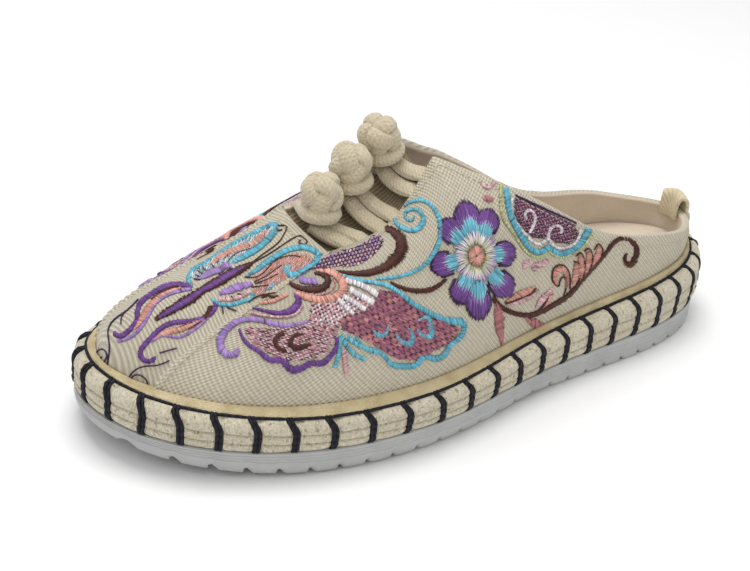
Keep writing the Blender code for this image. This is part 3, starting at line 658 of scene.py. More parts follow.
def stitch_cord_finish():
    """Dark navy waxed cord with the slanting twist of its plies, a little darker in their grooves, a
    painted shade.
    """
    made, tree, shader = new_finish("waxed_cord", 0.6, Specular_IOR_Level=0.25)
    turned = add_node(tree, "ShaderNodeMapping",
                      {"Vector": coordinates(tree, "UV"), "Scale": (900.0, 2.0, 1.0)})
    ply = waves(tree, turned.outputs["Vector"], 1.0, "DIAGONAL")
    # Painted shade: the ply wave that lowers the bump in the grooves also darkens the colour there.
    colour = blend_colours(tree, ply, linear(8, 8, 14), linear(30, 29, 42))
    tree.links.new(colour, shader.inputs["Base Color"])
    emboss(tree, shader, ply, 0.0001)
    return made


def add_blanket_stitches():
    """Two strands a bar up the band's face and over its edge, and the strand along the top."""
    shares = np.concatenate([[-0.045], np.linspace(0.02, 0.98, 12)])
    side = np.array([-1, 1]) * STRAND_SPREAD
    at = (STITCH_PLACES[:, None] + side).ravel()
    rng = np.random.default_rng(7)
    lean = rng.normal(0, 0.00035, (STITCHES, 1)) + np.zeros((1, 2))
    rows = []
    for share in shares:
        proud = 0.55 * STRAND_RADIUS if share > 0 else -BAR_TUCK
        swing = BAR_HOOK * max(share - 0.55, 0) ** 2 / 0.2 + (share - 0.5) * lean.ravel()
        rows.append(band_face((at + swing) % ROUND, share, proud)[0])
    foot, out = outline(at + BAR_HOOK)
    last = np.full((len(at), 1), BAND_SWELL + BAND_SHOULDER)
    edge = piping_edge(foot[:, 1:]) - STRAND_STAND
    for share, beyond, rise in ((0.4, 0, -0.0001), (1.0, 0, 0.0004), (1.0, 0.0010, -0.0004)):
        inset = last + (edge - last) * share + beyond
        rows.append(np.column_stack([foot - out * inset, band_level(foot[:, 1]) + rise]))
    paths = np.array(rows).transpose(1, 0, 2)
    normals = np.zeros_like(paths)
    normals[..., :2] = out[:, None]
    normals[:, -4:, 2] = [0.6, 1.5, 3.0, 3.0]
    bars = tubes(paths, unit(normals), STRAND_RADIUS, STRAND_RADIUS * 0.85, 8)
    at = np.arange(24 * STITCHES) * ROUND / (24 * STITCHES)
    foot, out = outline(at)
    dip = np.exp(-(from_stitch(at - BAR_HOOK) / 0.0016) ** 2)
    inset = piping_edge(foot[:, 1]) - STRAND_STAND + 0.0003 * dip
    level = band_level(foot[:, 1]) + 0.00035 - 0.0004 * dip
    path = np.column_stack([foot - out * inset[:, None], level])
    angle = (2 * np.pi * np.arange(8) / 8)[:, None, None]
    sideways = np.column_stack([out, np.zeros(len(at))])
    hoop = path + STRAND_RADIUS * 0.8 * (sideways * np.cos(angle) + [0, 0, 1] * np.sin(angle))
    grid = surface(hoop, wrap_rows=True, wrap_columns=True)
    return add_piece("blanket_stitches", [bars, grid], stitch_cord_finish())


add_blanket_stitches()

# Upper
# Cotton canvas with a brushed lining, one wall of 2 mm. The two quarters lap over the apron,
# which is of ribbed canvas, and all stand inside the band, open at the collar and the slot.
INSTEP_HEIGHT = 0.084
HEEL_HEIGHT = 0.037
WALL = 0.0020
SEAM_STEP = 0.0007
UPPER_INSET = 0.0083
FOOT_DEPTH = 0.0020
LAP = 0.0004
HEM_ROLL = 0.00028          # how far the quarter's folded edge stands up
HEM_WIDTH = 0.0013
RIM_ROUND = 0.0006          # round of the bound edge over the wall's end
CLOTH_STATIONS = 632
WEAVE_ROW = 36              # the row up the face whose length the weave is laid out by
# One rib for each corner of the outline: the edge's across, along and lift, the flank's rise and
# bulge, and the shoulder's across, along and lift
RIBS = np.array([
    (0.005, 0.031, 0.000, 0.06, 0.006, 0.005, 0.026, -0.085),
    (-0.168, 0.078, 0.028, 0.06, 0.006, -0.173, 0.074, -0.053),
    (-0.240, 0.147, 0.100, 0.08, 0.008, -0.250, 0.147, 0.000),
    (-0.257, 0.277, 0.253, 0.12, 0.010, -0.286, 0.277, 0.128),
    (-0.225, 0.405, 0.613, 0.19, 0.020, -0.316, 0.420, 0.340),
    (-0.122, 0.561, 1.000, 0.28, 0.031, -0.306, 0.559, 0.787),
    (-0.133, 0.601, 0.675, 0.28, 0.031, -0.322, 0.632, 0.635),
    (-0.148, 0.671, 0.498, 0.28, 0.036, -0.308, 0.733, 0.435),
    (-0.153, 0.718, 0.479, 0.23, 0.020, -0.209, 0.818, 0.287),
    (-0.010, 0.729, 0.564, 0.30, 0.087, 0.008, 0.864, 0.298),
    (0.122, 0.720, 0.574, 0.28, 0.071, 0.143, 0.806, 0.202),
    (0.117, 0.671, 0.620, 0.28, 0.036, 0.235, 0.733, 0.330),
    (0.102, 0.607, 0.766, 0.27, 0.031, 0.263, 0.656, 0.570),
    (0.087, 0.550, 0.957, 0.28, 0.026, 0.235, 0.556, 0.787),
    (0.182, 0.405, 0.570, 0.19, 0.015, 0.245, 0.413, 0.340),
    (0.204, 0.277, 0.202, 0.12, 0.010, 0.230, 0.277, 0.128),
    (0.219, 0.147, 0.070, 0.08, 0.008, 0.230, 0.147, 0.000),
    (0.153, 0.074, 0.010, 0.06, 0.006, 0.158, 0.070, -0.053),
])
COLLAR_OUTER, APRON_OUTER, APRON_INNER, COLLAR_INNER = 5, 8, 10, 13
OPENING_CORNERS = (COLLAR_OUTER, APRON_OUTER, APRON_INNER, COLLAR_INNER)
# Soft creases: from and to, each as a place in ribs round the shoe and a share of the way up,
# then depth and half width in millimetres. A minus depth is a ridge.
CREASES = (
    (4.7, 0.93, 5.6, 0.42, 0.55, 6.0), (4.1, 0.95, 4.5, 0.50, 0.45, 7.0),
    (6.0, 0.86, 6.9, 0.40, 0.35, 5.0), (3.0, 0.75, 3.7, 0.35, -0.35, 7.0),
    (1.3, 0.70, 2.2, 0.35, 0.35, 6.0), (8.3, 0.80, 9.0, 0.55, 0.30, 4.5),
    (9.0, 0.60, 9.8, 0.82, 0.30, 4.5), (8.6, 0.35, 9.4, 0.30, -0.35, 5.0),
    (13.3, 0.93, 12.6, 0.42, 0.50, 6.0), (13.9, 0.95, 13.5, 0.50, 0.45, 7.0),
    (15.0, 0.75, 14.3, 0.35, -0.35, 7.0), (16.8, 0.70, 15.9, 0.35, 0.35, 6.0),
    (7.4, 0.25, 8.0, 0.60, 0.30, 5.0), (17.4, 0.80, 0.6, 0.55, 0.25, 5.0),
)


def lift_height(lift):
    return HEEL_HEIGHT + lift * (INSTEP_HEIGHT - HEEL_HEIGHT)


def opening_edge(at):
    """Edge of collar, slot and apron: a spline from each of the opening's corners to the next."""
    rows = np.column_stack([RIBS[:, 0] * BALL_WIDTH - MIDDLE[0], RIBS[:, 1] * LENGTH - MIDDLE[1],
                            lift_height(RIBS[:, 2])])
    count = len(RIBS)
    edge = np.zeros((len(at), 3))
    for first, last in zip(OPENING_CORNERS, OPENING_CORNERS[1:] + (COLLAR_OUTER + count,)):
        index = np.arange(first, last + 1)
        knots = KNOTS[index % count] + ROUND * (index // count)
        place = np.where(at % ROUND < knots[0], at % ROUND + ROUND, at % ROUND)
        inside = place <= knots[-1]
        edge[inside] = spline(knots, rows[index % count], place[inside])[0]
    return edge


def canvas(at, share):
    """The upper's face: at each place a cubic Bezier curve from the foot, past flank and shoulder.

    share holds the shares of the way up, one list for all places or a row for each.
    """
    foot, out = outline(at)
    foot = foot - out * UPPER_INSET
    foot = np.column_stack([foot, band_level(foot[:, 1]) - FOOT_DEPTH])
    out = np.column_stack([out, np.zeros(len(at))])
    rise = INSTEP_HEIGHT - OUTSOLE_HEIGHT - BAND_HEIGHT
    table = np.column_stack([RIBS[:, 3] * rise, RIBS[:, 4] * BALL_WIDTH,
                             RIBS[:, 5] * BALL_WIDTH - MIDDLE[0],
                             RIBS[:, 6] * LENGTH - MIDDLE[1], lift_height(RIBS[:, 7])])
    row = spline(KNOTS, table, at % ROUND, closed=True)[0]
    flank = foot + out * row[:, 1:2] + np.array([0, 0, 1]) * row[:, 0:1]
    s = np.broadcast_to(share, (len(at), np.shape(share)[-1]))[..., None]
    return ((1 - s) ** 3 * foot[:, None] + 3 * s * (1 - s) ** 2 * flank[:, None]
            + 3 * s * s * (1 - s) * row[:, None, 2:5] + s ** 3 * opening_edge(at)[:, None])


def canvas_normal(at, share):
    """Direction out of the upper's face: the cross product of small steps up and along it."""
    step = 0.0005
    forward = canvas(at + step, share) - canvas(at - step, share)
    upward = (canvas(at, np.clip(np.add(share, 0.01), 0, 1))
              - canvas(at, np.clip(np.subtract(share, 0.01), 0, 1)))
    return unit(np.cross(upward, forward))


def rib_place(rib):
    """Place round the outline of a rib, given as a number with a share of the way to the next."""
    return np.interp(rib, np.arange(len(KNOTS)), KNOTS)


def crease_depth(face):
    """Height of the soft creases at a grid of points on the face.

    Each is a bell curve of the distance to the line between its two ends, with a lower ridge
    beside a trough.
    """
    height = np.zeros(face.shape[:2])
    for rib_a, share_a, rib_b, share_b, depth, half_width in CREASES:
        start = canvas(np.array([rib_place(rib_a)]), [share_a])[0, 0]
        end = canvas(np.array([rib_place(rib_b)]), [share_b])[0, 0]
        line = end - start
        part = np.clip((face - start) @ line / (line @ line), 0, 1)
        reach = np.linalg.norm(face - start - part[..., None] * line, axis=2) / (half_width / 1000)
        fade = 0.5 + 0.5 * np.sin(np.pi * part)
        height -= depth / 1000 * fade * (np.exp(-reach ** 2) - 0.35 * np.exp(-(reach - 2) ** 2))
    return height


def lap_height(at):
    """Height of the quarters over the apron: the lap's step, and the roll of its folded edge."""
    inside = np.minimum(KNOTS[APRON_OUTER] - at % ROUND, 1)
    inside = np.maximum(inside, at % ROUND - KNOTS[APRON_INNER])
    step = SEAM_STEP * np.clip((inside + LAP) / (2 * LAP), 0, 1)
    return step + HEM_ROLL * np.exp(-((inside - HEM_WIDTH) / HEM_WIDTH) ** 2)


def cloth_stations():
    """Places round the upper, even but for close ones at the laps."""
    close = np.array([-1.0, -0.6, -0.2, 0.2, 0.6, 1.0]) * LAP
    even = np.arange(CLOTH_STATIONS) * ROUND / CLOTH_STATIONS
    for seam in (KNOTS[APRON_OUTER], KNOTS[APRON_INNER]):
        even = even[np.abs(even - seam) > 1.6 * LAP]
        even = np.concatenate([even, seam + close])
    return np.sort(even)


CLOTH_AT = cloth_stations()
CLOTH_UP = np.linspace(0, 1, 89)
cloth_plain = canvas(CLOTH_AT, CLOTH_UP)
cloth_relief = crease_depth(cloth_plain) + lap_height(CLOTH_AT)[:, None]
CLOTH_NORMAL = canvas_normal(CLOTH_AT, CLOTH_UP)
CLOTH = cloth_plain + CLOTH_NORMAL * cloth_relief[..., None]


def on_cloth(at, share, lift=0.0):
    """Points on the finished outer face, and the directions out of it, read from its grid."""
    at = np.asarray(at) % ROUND
    wide = np.concatenate([CLOTH_AT, CLOTH_AT[:1] + ROUND])
    i = np.clip(np.searchsorted(wide, at, side="right") - 1, 0, len(CLOTH_AT) - 1)
    a = ((at - wide[i]) / (wide[i + 1] - wide[i]))[..., None]
    row = np.clip(share, 0, 1) * (len(CLOTH_UP) - 1)
    j = np.clip(row.astype(int), 0, len(CLOTH_UP) - 2)
    b = (row - j)[..., None]
    n = (i + 1) % len(CLOTH_AT)

    def read(grid):
        return (grid[i, j] * (1 - a) * (1 - b) + grid[n, j] * a * (1 - b)
                + grid[i, j + 1] * (1 - a) * b + grid[n, j + 1] * a * b)

    normal = unit(read(CLOTH_NORMAL))
    return read(CLOTH) + normal * np.reshape(lift, np.shape(lift) + (1,)), normal


def canvas_finish(name, pale, deep, pitch, ribbed):
    """Cream canvas: a plain weave of soft dots, or cross ribs, with slubs and a little soil."""
    made, tree, shader = new_finish(name, 0.88, Sheen_Weight=0.2)
    place = coordinates(tree)
    uv = coordinates(tree, "Object" if ribbed else "UV")
    rows = waves(tree, uv, pitch, "Y", 0.5, 3.0)
    yarns = waves(tree, uv, 0.55 * pitch if ribbed else pitch, "X", 0.5, 3.0)
    if ribbed:
        weave = math_node(tree, "ADD", times(tree, rows, 0.75), times(tree, yarns, 0.25))
    else:
        over, under = (math_node(tree, "SUBTRACT", times(tree, wave, 2.0), 1.0)
                       for wave in (rows, yarns))
        weave = math_node(tree, "ADD", times(tree, times(tree, over, under), 0.5), 0.5)
    slub = noise(tree, place, 0.0016, 5.0)
    colour = blend_colours(tree, noise(tree, place, 0.015), pale, deep)
    shade = times(tree, math_node(tree, "SUBTRACT", 1.0, weave), 0.75)
    colour = blend_colours(tree, shade, colour, linear(158, 146, 120))
    colour = blend_colours(tree, times(tree, spread(tree, slub, 0.50, 0.75), 0.40), colour,
                           linear(176, 162, 132))
    tree.links.new(colour, shader.inputs["Base Color"])
    emboss(tree, shader, math_node(tree, "ADD", weave, times(tree, slub, 0.35)), 0.0004)
    return made


def lining_finish():
    """Brushed cotton lining, pinkish beige, with a short soft nap."""
    made, tree, shader = new_finish("brushed_lining", 0.95, Sheen_Weight=0.4)
    place = coordinates(tree)
    nap = noise(tree, place, 0.0007, 6.0)
    colour = blend_colours(tree, noise(tree, place, 0.009), linear(208, 192, 170),
                           linear(226, 214, 196))
    colour = blend_colours(tree, times(tree, nap, 0.45), colour, linear(172, 152, 130))
    tree.links.new(colour, shader.inputs["Base Color"])
    emboss(tree, shader, nap, 0.00018)
    return made


CANVAS_PALE, CANVAS_DEEP = linear(226, 219, 202), linear(214, 205, 184)
lining_cloth = lining_finish()


def add_upper():
    """One closed hoop: the outer face up, the rim's half round, and the lining down."""
    down = np.linspace(1, 0, 32)
    plain = canvas(CLOTH_AT, down)
    inner = plain + canvas_normal(CLOTH_AT, down) * (crease_depth(plain) - WALL)[..., None]
    foot, out = outline(CLOTH_AT)
    outer = CLOTH.copy()
    level = band_level((foot - out * UPPER_INSET)[:, 1]) - FOOT_DEPTH
    inset = UPPER_INSET - lap_height(CLOTH_AT)[:, None]
    outer[:, 0] = np.column_stack([foot - out * inset, level])
    inner[:, -1] = np.column_stack([foot - out * (UPPER_INSET + WALL), level])
    climb = unit(outer[:, -1] - outer[:, -3])
    middle = (outer[:, -1] + inner[:, 0]) / 2
    half = (outer[:, -1] - inner[:, 0]) / 2
    angle = np.linspace(0, np.pi, 8)[1:-1, None, None]
    rim = middle + half * np.cos(angle) + climb * RIM_ROUND * np.sin(angle)
    grid = np.concatenate([outer.transpose(1, 0, 2), rim, inner.transpose(1, 0, 2)])
    loop = np.concatenate([grid, grid[:1]])
    up_length = np.concatenate([np.zeros((1, len(CLOTH_AT))),
                                np.cumsum(np.linalg.norm(np.diff(loop, axis=0), axis=2), axis=0)])
    up_length = np.concatenate([up_length, up_length[:, :1]], axis=1)
    round_length = run_lengths(np.concatenate([grid[WEAVE_ROW], grid[WEAVE_ROW, :1]]))
    uv = np.stack(np.broadcast_arrays(round_length[None], up_length), axis=2)
    rows = np.repeat(np.arange(len(grid)), len(CLOTH_AT))
    places = np.tile(CLOTH_AT, len(grid))
    apron = (places > KNOTS[APRON_OUTER] - LAP / 3) & (places < KNOTS[APRON_INNER] - LAP / 3)
    kinds = np.where(rows >= len(CLOTH_UP) + 3, 2, apron.astype(int))
    finishes = [canvas_finish("quarter_canvas", CANVAS_PALE, CANVAS_DEEP, 0.00176, False),
                canvas_finish("apron_canvas", CANVAS_PALE, CANVAS_DEEP, 0.00105, True), lining_cloth]
    return add_piece("upper_cloth", [surface(grid, True, True, uv)], finishes,
                     ["upper"], kinds=kinds)


add_upper()

# Topstitching
# Cream thread in short sunken stitches: beside the lap on each quarter, and round the collar
# and the slot, where it holds the lining's turned edge.
STITCH_LENGTH = 0.0017
STITCH_PITCH = 0.0024
LAP_STITCH = 0.0020         # row's distance from the lap's edge
RIM_STITCH = 0.0031         # row's distance below the opening's edge


def share_below_edge(at, distance):
    """Share of the way up at which the face lies a distance under the opening's edge."""
    top = canvas(at, [0.97, 1.0])
    return 1 - 0.03 * distance / np.linalg.norm(top[:, 1] - top[:, 0], axis=1)


def along_line(at, share, pitch):
    """Places and shares a pitch apart by length, along a line given by its places and shares."""
    length = run_lengths(on_cloth(at, share)[0])
    stop = np.arange(pitch / 2, length[-1], pitch)
    return np.interp(stop, length, at), np.interp(stop, length, share), length


def thread_finish(name, colour, gloss):
    """Sewing thread with the fine twist that runs round it, darker in its grooves, a painted shade.
    """
    made, tree, shader = new_finish(name, gloss, Sheen_Weight=0.3)
    ply = waves(tree, coordinates(tree), 0.0004, "DIAGONAL")
    # Painted shade: a copy of the colour at six tenths, laid in the twist's grooves where the bump is
    # low.
    dark = tuple(0.6 * v for v in colour[:3]) + (1.0,)
    tree.links.new(blend_colours(tree, ply, dark, colour), shader.inputs["Base Color"])
    emboss(tree, shader, ply, 0.0001)
    return made


def add_topstitching():
    """Every stitch is a short tube that rises in its middle and dips into the cloth at its ends."""
    up = np.linspace(0.05, 0.985, 160)
    opening = np.linspace(KNOTS[APRON_INNER] + 0.002, KNOTS[APRON_OUTER] + ROUND - 0.002, 1400)
    front = np.linspace(KNOTS[APRON_OUTER] + 0.003, KNOTS[APRON_INNER] - 0.003, 90)
    lines = [(np.full(len(up), KNOTS[APRON_OUTER] - LAP_STITCH), up),
             (np.full(len(up), KNOTS[APRON_INNER] + LAP_STITCH), up),
             (opening, share_below_edge(opening, RIM_STITCH)),
             (front, share_below_edge(front, RIM_STITCH))]
    lift = np.array([-0.00012, 0.00012, 0.00016, 0.00012, -0.00012])
    paths, normals = [], []
    for at, share in lines:
        middle_at, middle_share, length = along_line(at, share, STITCH_PITCH)
        stop = np.interp(middle_at + middle_share, at + share, length)
        stop = stop[:, None] + STITCH_LENGTH * np.array([-0.5, -0.25, 0, 0.25, 0.5])
        point, normal = on_cloth(np.interp(stop, length, at), np.interp(stop, length, share),
                                 np.broadcast_to(lift, stop.shape))
        paths.append(point)
        normals.append(normal)
    stitches = tubes(np.concatenate(paths), np.concatenate(normals), 0.00028, 0.0002, 6)
    cream = thread_finish("cream_thread", linear(222, 210, 182), 0.6)
    return add_piece("topstitching", [stitches], cream)


add_topstitching()

# Piping
# A strip of tan leathercloth that covers the band's inner edge. It lies on the band's top, and
# its folded edge rolls up against the canvas.
PIPING_HEIGHT = 0.0026
PIPING_ROLL = 0.0009


def face_at_height(at, height, distance, clearance):
    """Ring on the upper at a height over the band's top, held off it by a clearance.

    The share of the way up is halved in on, twenty times over.
    """
    low, high = np.zeros(len(at)), np.full(len(at), 0.5)
    distance = np.broadcast_to(distance, len(at))[:, None, None]
    for _ in range(20):
        share = (low + high)[:, None] / 2
        point = (canvas(at, share) + canvas_normal(at, share) * distance)[:, 0]
        under = point[:, 2] < band_level(point[:, 1]) + height
        low = np.where(under, share[:, 0], low)
        high = np.where(under, high, share[:, 0])
    point[:, :2] += outline(at)[1] * clearance
    return point


def smooth_rings(rings, times):
    """Closed loop of rings with more between them, on Catmull-Rom curves."""
    share = np.arange(times)[:, None, None] / times
    before, after, beyond = (np.roll(rings, k, axis=0) for k in (1, -1, -2))
    parts = [0.5 * (2 * r + (a - b) * share + (2 * b - 5 * r + 4 * a - c) * share ** 2
                    + (3 * r - b - 3 * a + c) * share ** 3)
             for r, a, b, c in zip(rings, after, before, beyond)]
    return np.concatenate(parts)


def leathercloth_finish():
    """Tan leathercloth: satin, finely grained, a little darker where it is creased, a painted shade.
    """
    made, tree, shader = new_finish("tan_leathercloth", 0.42, Coat_Weight=0.12, Coat_Roughness=0.35)
    place = coordinates(tree)
    cloud = noise(tree, place, 0.007, 4.0)
    grain = add_node(tree, "ShaderNodeTexVoronoi", {"Vector": place, "Scale": 1500.0})
    # Painted shade: the cloud's low patches, which are the bump's creases, take the darker tan.
    colour = blend_colours(tree, spread(tree, cloud, 0.3, 0.7), linear(172, 154, 112),
                           linear(200, 184, 146))
    tree.links.new(colour, shader.inputs["Base Color"])
    height = math_node(tree, "ADD", times(tree, grain.outputs["Distance"], 0.4), cloud)
    emboss(tree, shader, height, 0.0006)
    return made


def add_piping():
    """Rings from the band's top, over the roll, and down between band and canvas."""
    at = np.arange(900) * ROUND / 900
    step = lap_height(at)
    foot, out = outline(at)
    ripple = 0.00018 * np.sin(at * 520 + 2 * np.sin(at * 90)) + 0.00012 * np.sin(at * 1130)
    edge = piping_edge(foot[:, 1])

    def on_band(inset, rise):
        return np.column_stack([foot - out * np.reshape(inset, (-1, 1)),
                                band_level(foot[:, 1]) + rise])

    rings = np.array([
        on_band(edge - 0.0002, GAP),
        on_band(edge + 0.0001, 0.45 * PIPING_HEIGHT + ripple),
        face_at_height(at, 0.80 * PIPING_HEIGHT, step, GAP + 1.3 * PIPING_ROLL) + [0, 0, 0.0002],
        face_at_height(at, PIPING_HEIGHT, step, GAP + 0.7 * PIPING_ROLL),
        face_at_height(at, 0.90 * PIPING_HEIGHT, step, 0.0001),
        face_at_height(at, GAP, step, 0.0001),
        on_band(BAND_BRIM, GAP / 2),
    ])
    return add_piece("piping_strip", [surface(smooth_rings(rings, 4), True, True)],
                     leathercloth_finish(), ["piping"])


add_piping()

# Insole
# A soft board covered with the lining's cloth, laid inside the upper. Its edge is rounded and
# its middle a little hollow from pressing.
INSOLE_THICKNESS = 0.0030
SOFT_GAP = 0.0008
INSOLE_HOLLOW = 0.0007


def add_insole():
    """Rings up the rounded edge, a flat cap below and a hollowed one above."""
    at = paired_places()[::2]
    if len(at) % 2:
        at = at[:-1]
    foot, out = outline(at)
    top = INSOLE_THICKNESS - FOOT_DEPTH
    rings = [np.column_stack([foot - out * (UPPER_INSET + WALL + GAP),
                              band_level(foot[:, 1]) - FOOT_DEPTH])]
    soft = INSOLE_THICKNESS / 4
    for angle in np.radians([0, 25, 50, 70, 90]):
        rings.append(face_at_height(at, top - soft * (1 - np.sin(angle)), -WALL,
                                    -SOFT_GAP - soft * (1 - np.cos(angle))))
    rings = np.array(rings)
    upper_cap = cap(rings[-1], 25)
    share = np.linspace(0, 1, 25)[None, :]
    upper_cap[..., 2] -= INSOLE_HOLLOW * np.sin(np.pi * share) ** 2
    return add_piece("insole_board", [surface(rings, wrap_columns=True), surface(upper_cap),
                                      surface(cap(rings[0], 3))],
                     lining_cloth, ["insole"], merge=True)


add_insole()

# Gore
# Brown elastic sewn under the slot's edges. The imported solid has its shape, and gets the ribs
# that run along the slot.


def elastic_finish():
    """Khaki brown elastic with close ribs along the slot, darker between the ribs, a painted shade.
    """
    made, tree, shader = new_finish("ribbed_elastic", 0.8, Sheen_Weight=0.2)
    ribs = waves(tree, coordinates(tree), 0.0012, wander=0.4, fineness=2.0)
    # Painted shade: the ribs' grooves, low in the bump, take the darker brown.
    colour = blend_colours(tree, ribs, linear(138, 120, 94), linear(178, 160, 130))
    tree.links.new(colour, shader.inputs["Base Color"])
    emboss(tree, shader, ribs, 0.0003)
    return made


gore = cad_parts["gore"]
gore.data.materials.clear()
gore.data.materials.append(elastic_finish())

# Frogs
# Three fasteners of soft cotton cord. Two cords side by side come from under the slot's outer
# edge to a button knot, and a loop from under the inner edge goes round the knot's neck.
GORE_SAG = 0.0030
STEM_WIDTH = 0.0120
STEM_THICKNESS = 0.0042
CORD_RADIUS = 0.0024
CORD_WIND = 40              # turn of the strands, radians a metre
NECK_RADIUS = 0.0020
KNOT_HEIGHT = 0.0063
KNOT_CORE = 0.0046          # radius of the ball that the knot's cord winds round
KNOT_CORD_WIDTH = 0.0029    # half width of that cord, and half its height
KNOT_CORD_HEIGHT = 0.0019
KNOT_WEAVE = 0.0010         # how far it passes over and under itself
KNOT_REACH = 58.0           # degrees up and down the ball that it winds
# outer and inner: places on the slot's edges, 0 at the apron and 1 at the collar. across: share
# of the way to the knot. lift: the stem's rise there in thicknesses. ends: the loop's place on
# the inner edge. turn and lean: how the knot was tied, in degrees.
FROGS = (
    dict(outer=0.30, inner=-0.04, across=0.52, lift=0.4, ends=0.16, turn=20, lean=14),
    dict(outer=0.58, inner=0.40, across=0.64, lift=1.2, ends=0.46, turn=65, lean=-22),
    dict(outer=0.86, inner=0.78, across=0.74, lift=0.8, ends=0.78, turn=110, lean=24),
)


def slot_edge_points(outer_share, inner_share, depth):
    """Points under the slot's outer and inner edge at a depth."""
    outer_at = KNOTS[APRON_OUTER] + (KNOTS[COLLAR_OUTER] - KNOTS[APRON_OUTER]) * outer_share
    inner_at = KNOTS[APRON_INNER] + (KNOTS[COLLAR_INNER] - KNOTS[APRON_INNER]) * inner_share
    edges = [(canvas(at, [1.0]) - canvas_normal(at, [1.0]) * depth)[:, 0]
             for at in (outer_at, inner_at)]
    return edges[0], edges[1]


def gore_points(frog, shares, step=0.0):
    """Points on the gore's sagging line under a frog, moved along the slot by a step."""
    shares = np.asarray(shares, float)
    place = frog["outer"] + (frog["inner"] - frog["outer"]) * shares + step
    outer, inner = slot_edge_points(place, place, WALL + SOFT_GAP)
    sag = GORE_SAG * 4 * shares * (1 - shares)
    return outer + (inner - outer) * shares[:, None] - sag[:, None] * [0, 0, 1]


def stem_line(frog, shares, up):
    """Points on a stem's underside and the direction along the slot: clear of the gore, lifting."""
    line = gore_points(frog, shares)
    ends = opening_edge(np.array([KNOTS[APRON_OUTER], KNOTS[COLLAR_OUTER]]))
    reach = STEM_WIDTH / 2 / np.linalg.norm(ends[1] - ends[0])
    front, behind = gore_points(frog, shares, -reach), gore_points(frog, shares, reach)
    hollow = np.maximum(((front + behind) / 2 - line) @ up, 0)
    lift = frog["lift"] * STEM_THICKNESS * (np.maximum(shares, 0) / frog["across"]) ** 1.5
    return line + up * (SOFT_GAP + hollow + lift)[:, None], unit(front - behind)


def frog_frame(frog):
    """Where a frog's knot stands, and its directions across the slot, along it and up."""
    ahead, behind = gore_points(frog, [0.5], -0.1)[0], gore_points(frog, [0.5], 0.1)[0]
    slope = (ahead - behind) * np.array([0, 1, 1])
    up = unit(np.cross([1, 0, 0], unit(slope)) + [0, 0, 1])
    start, end = gore_points(frog, [0.0, 1.0])
    across = unit(end - start - up * ((end - start) @ up))
    seat = stem_line(frog, np.array([frog["across"]]), up)[0][0]
    return seat, across, np.cross(up, across), up


def smooth_path(points, count):
    """Even points on the cubic spline through a path's own points."""
    points = np.array(points)
    knots = run_lengths(points)
    return spline(knots, points, np.linspace(0, knots[-1], count))[0]


def cord(path, normals, width, height, strands=9, depth=0.07, sides=54):
    """A tube whose section is fluted by the cord's strands, which wind slowly round it."""
    angle = 2 * np.pi * np.arange(sides) / sides
    wind = angle + CORD_WIND * run_lengths(path)[:, None]
    flute = 1 + depth * (np.abs(np.cos(strands * wind / 2)) - 0.7)
    width, height = (np.broadcast_to(half, len(path))[:, None] * flute for half in (width, height))
    points, faces, uv = tubes(path[None], normals[None], width, height, sides)
    return points, faces, uv * [1.0, 2 * np.pi * CORD_RADIUS]


def cord_finish():
    """Soft cream cotton cord: fine plaited yarns across the strands, darker in the grooves between
    them, a painted shade, and a matt fuzz that darkens it at random.
    """
    made, tree, shader = new_finish("cotton_cord", 0.92, Sheen_Weight=0.35)
    uv = coordinates(tree, "UV")
    place = coordinates(tree)
    yarns = [waves(tree, uv, pitch, axis, 1.5, 2.0)
             for pitch, axis in ((0.0010, "X"), (0.00075, "DIAGONAL"))]
    plait = times(tree, math_node(tree, "ADD", *yarns), 0.5)
    fuzz = noise(tree, place, 0.0006, 6.0)
    colour = blend_colours(tree, noise(tree, place, 0.006), linear(226, 216, 193),
                           linear(210, 196, 166))
    # Painted shade in the plait's grooves, added to the fuzz's random darkening.
    fuzz_and_groove_shade = math_node(tree, "ADD", fuzz, math_node(tree, "SUBTRACT", 1.0, plait))
    colour = blend_colours(tree, times(tree, fuzz_and_groove_shade, 0.32), colour, linear(160, 142, 108))
    tree.links.new(colour, shader.inputs["Base Color"])
    emboss(tree, shader, math_node(tree, "ADD", plait, times(tree, fuzz, 1.6)), 0.0002)
    return made


cord_cotton = cord_finish()


def add_stem(number, frog):
    """Two cords from under the slot's edge, drawn together and narrowing under the knot."""
    up = frog_frame(frog)[3]
    shares = np.linspace(-0.02, 1.04, 36)
    line, side = stem_line(frog, shares * frog["across"], up)
    swell = np.interp(shares, [-0.02, 0.08, 0.22, 0.45, 0.9, 1.04],
                      [0.45, 0.62, 0.92, 1.0, 0.96, 0.7])
    width = np.interp(shares, [-0.02, 0.3, 0.8, 1.04], [1.0, 1.02, 0.9, 0.72])
    middle = line + up * (STEM_THICKNESS / 2 * swell)[:, None]
    normals = np.broadcast_to(up, middle.shape)
    parts = []
    for hand in (-1, 1):
        path = middle + side * (hand * STEM_WIDTH / 4 * width)[:, None]
        parts.append(cord(path, normals, STEM_WIDTH / 4 * width * 1.03, STEM_THICKNESS / 2 * swell))
    return add_piece(f"stem_cords_{number}", parts, cord_cotton, [f"frog_stem_{number}"])


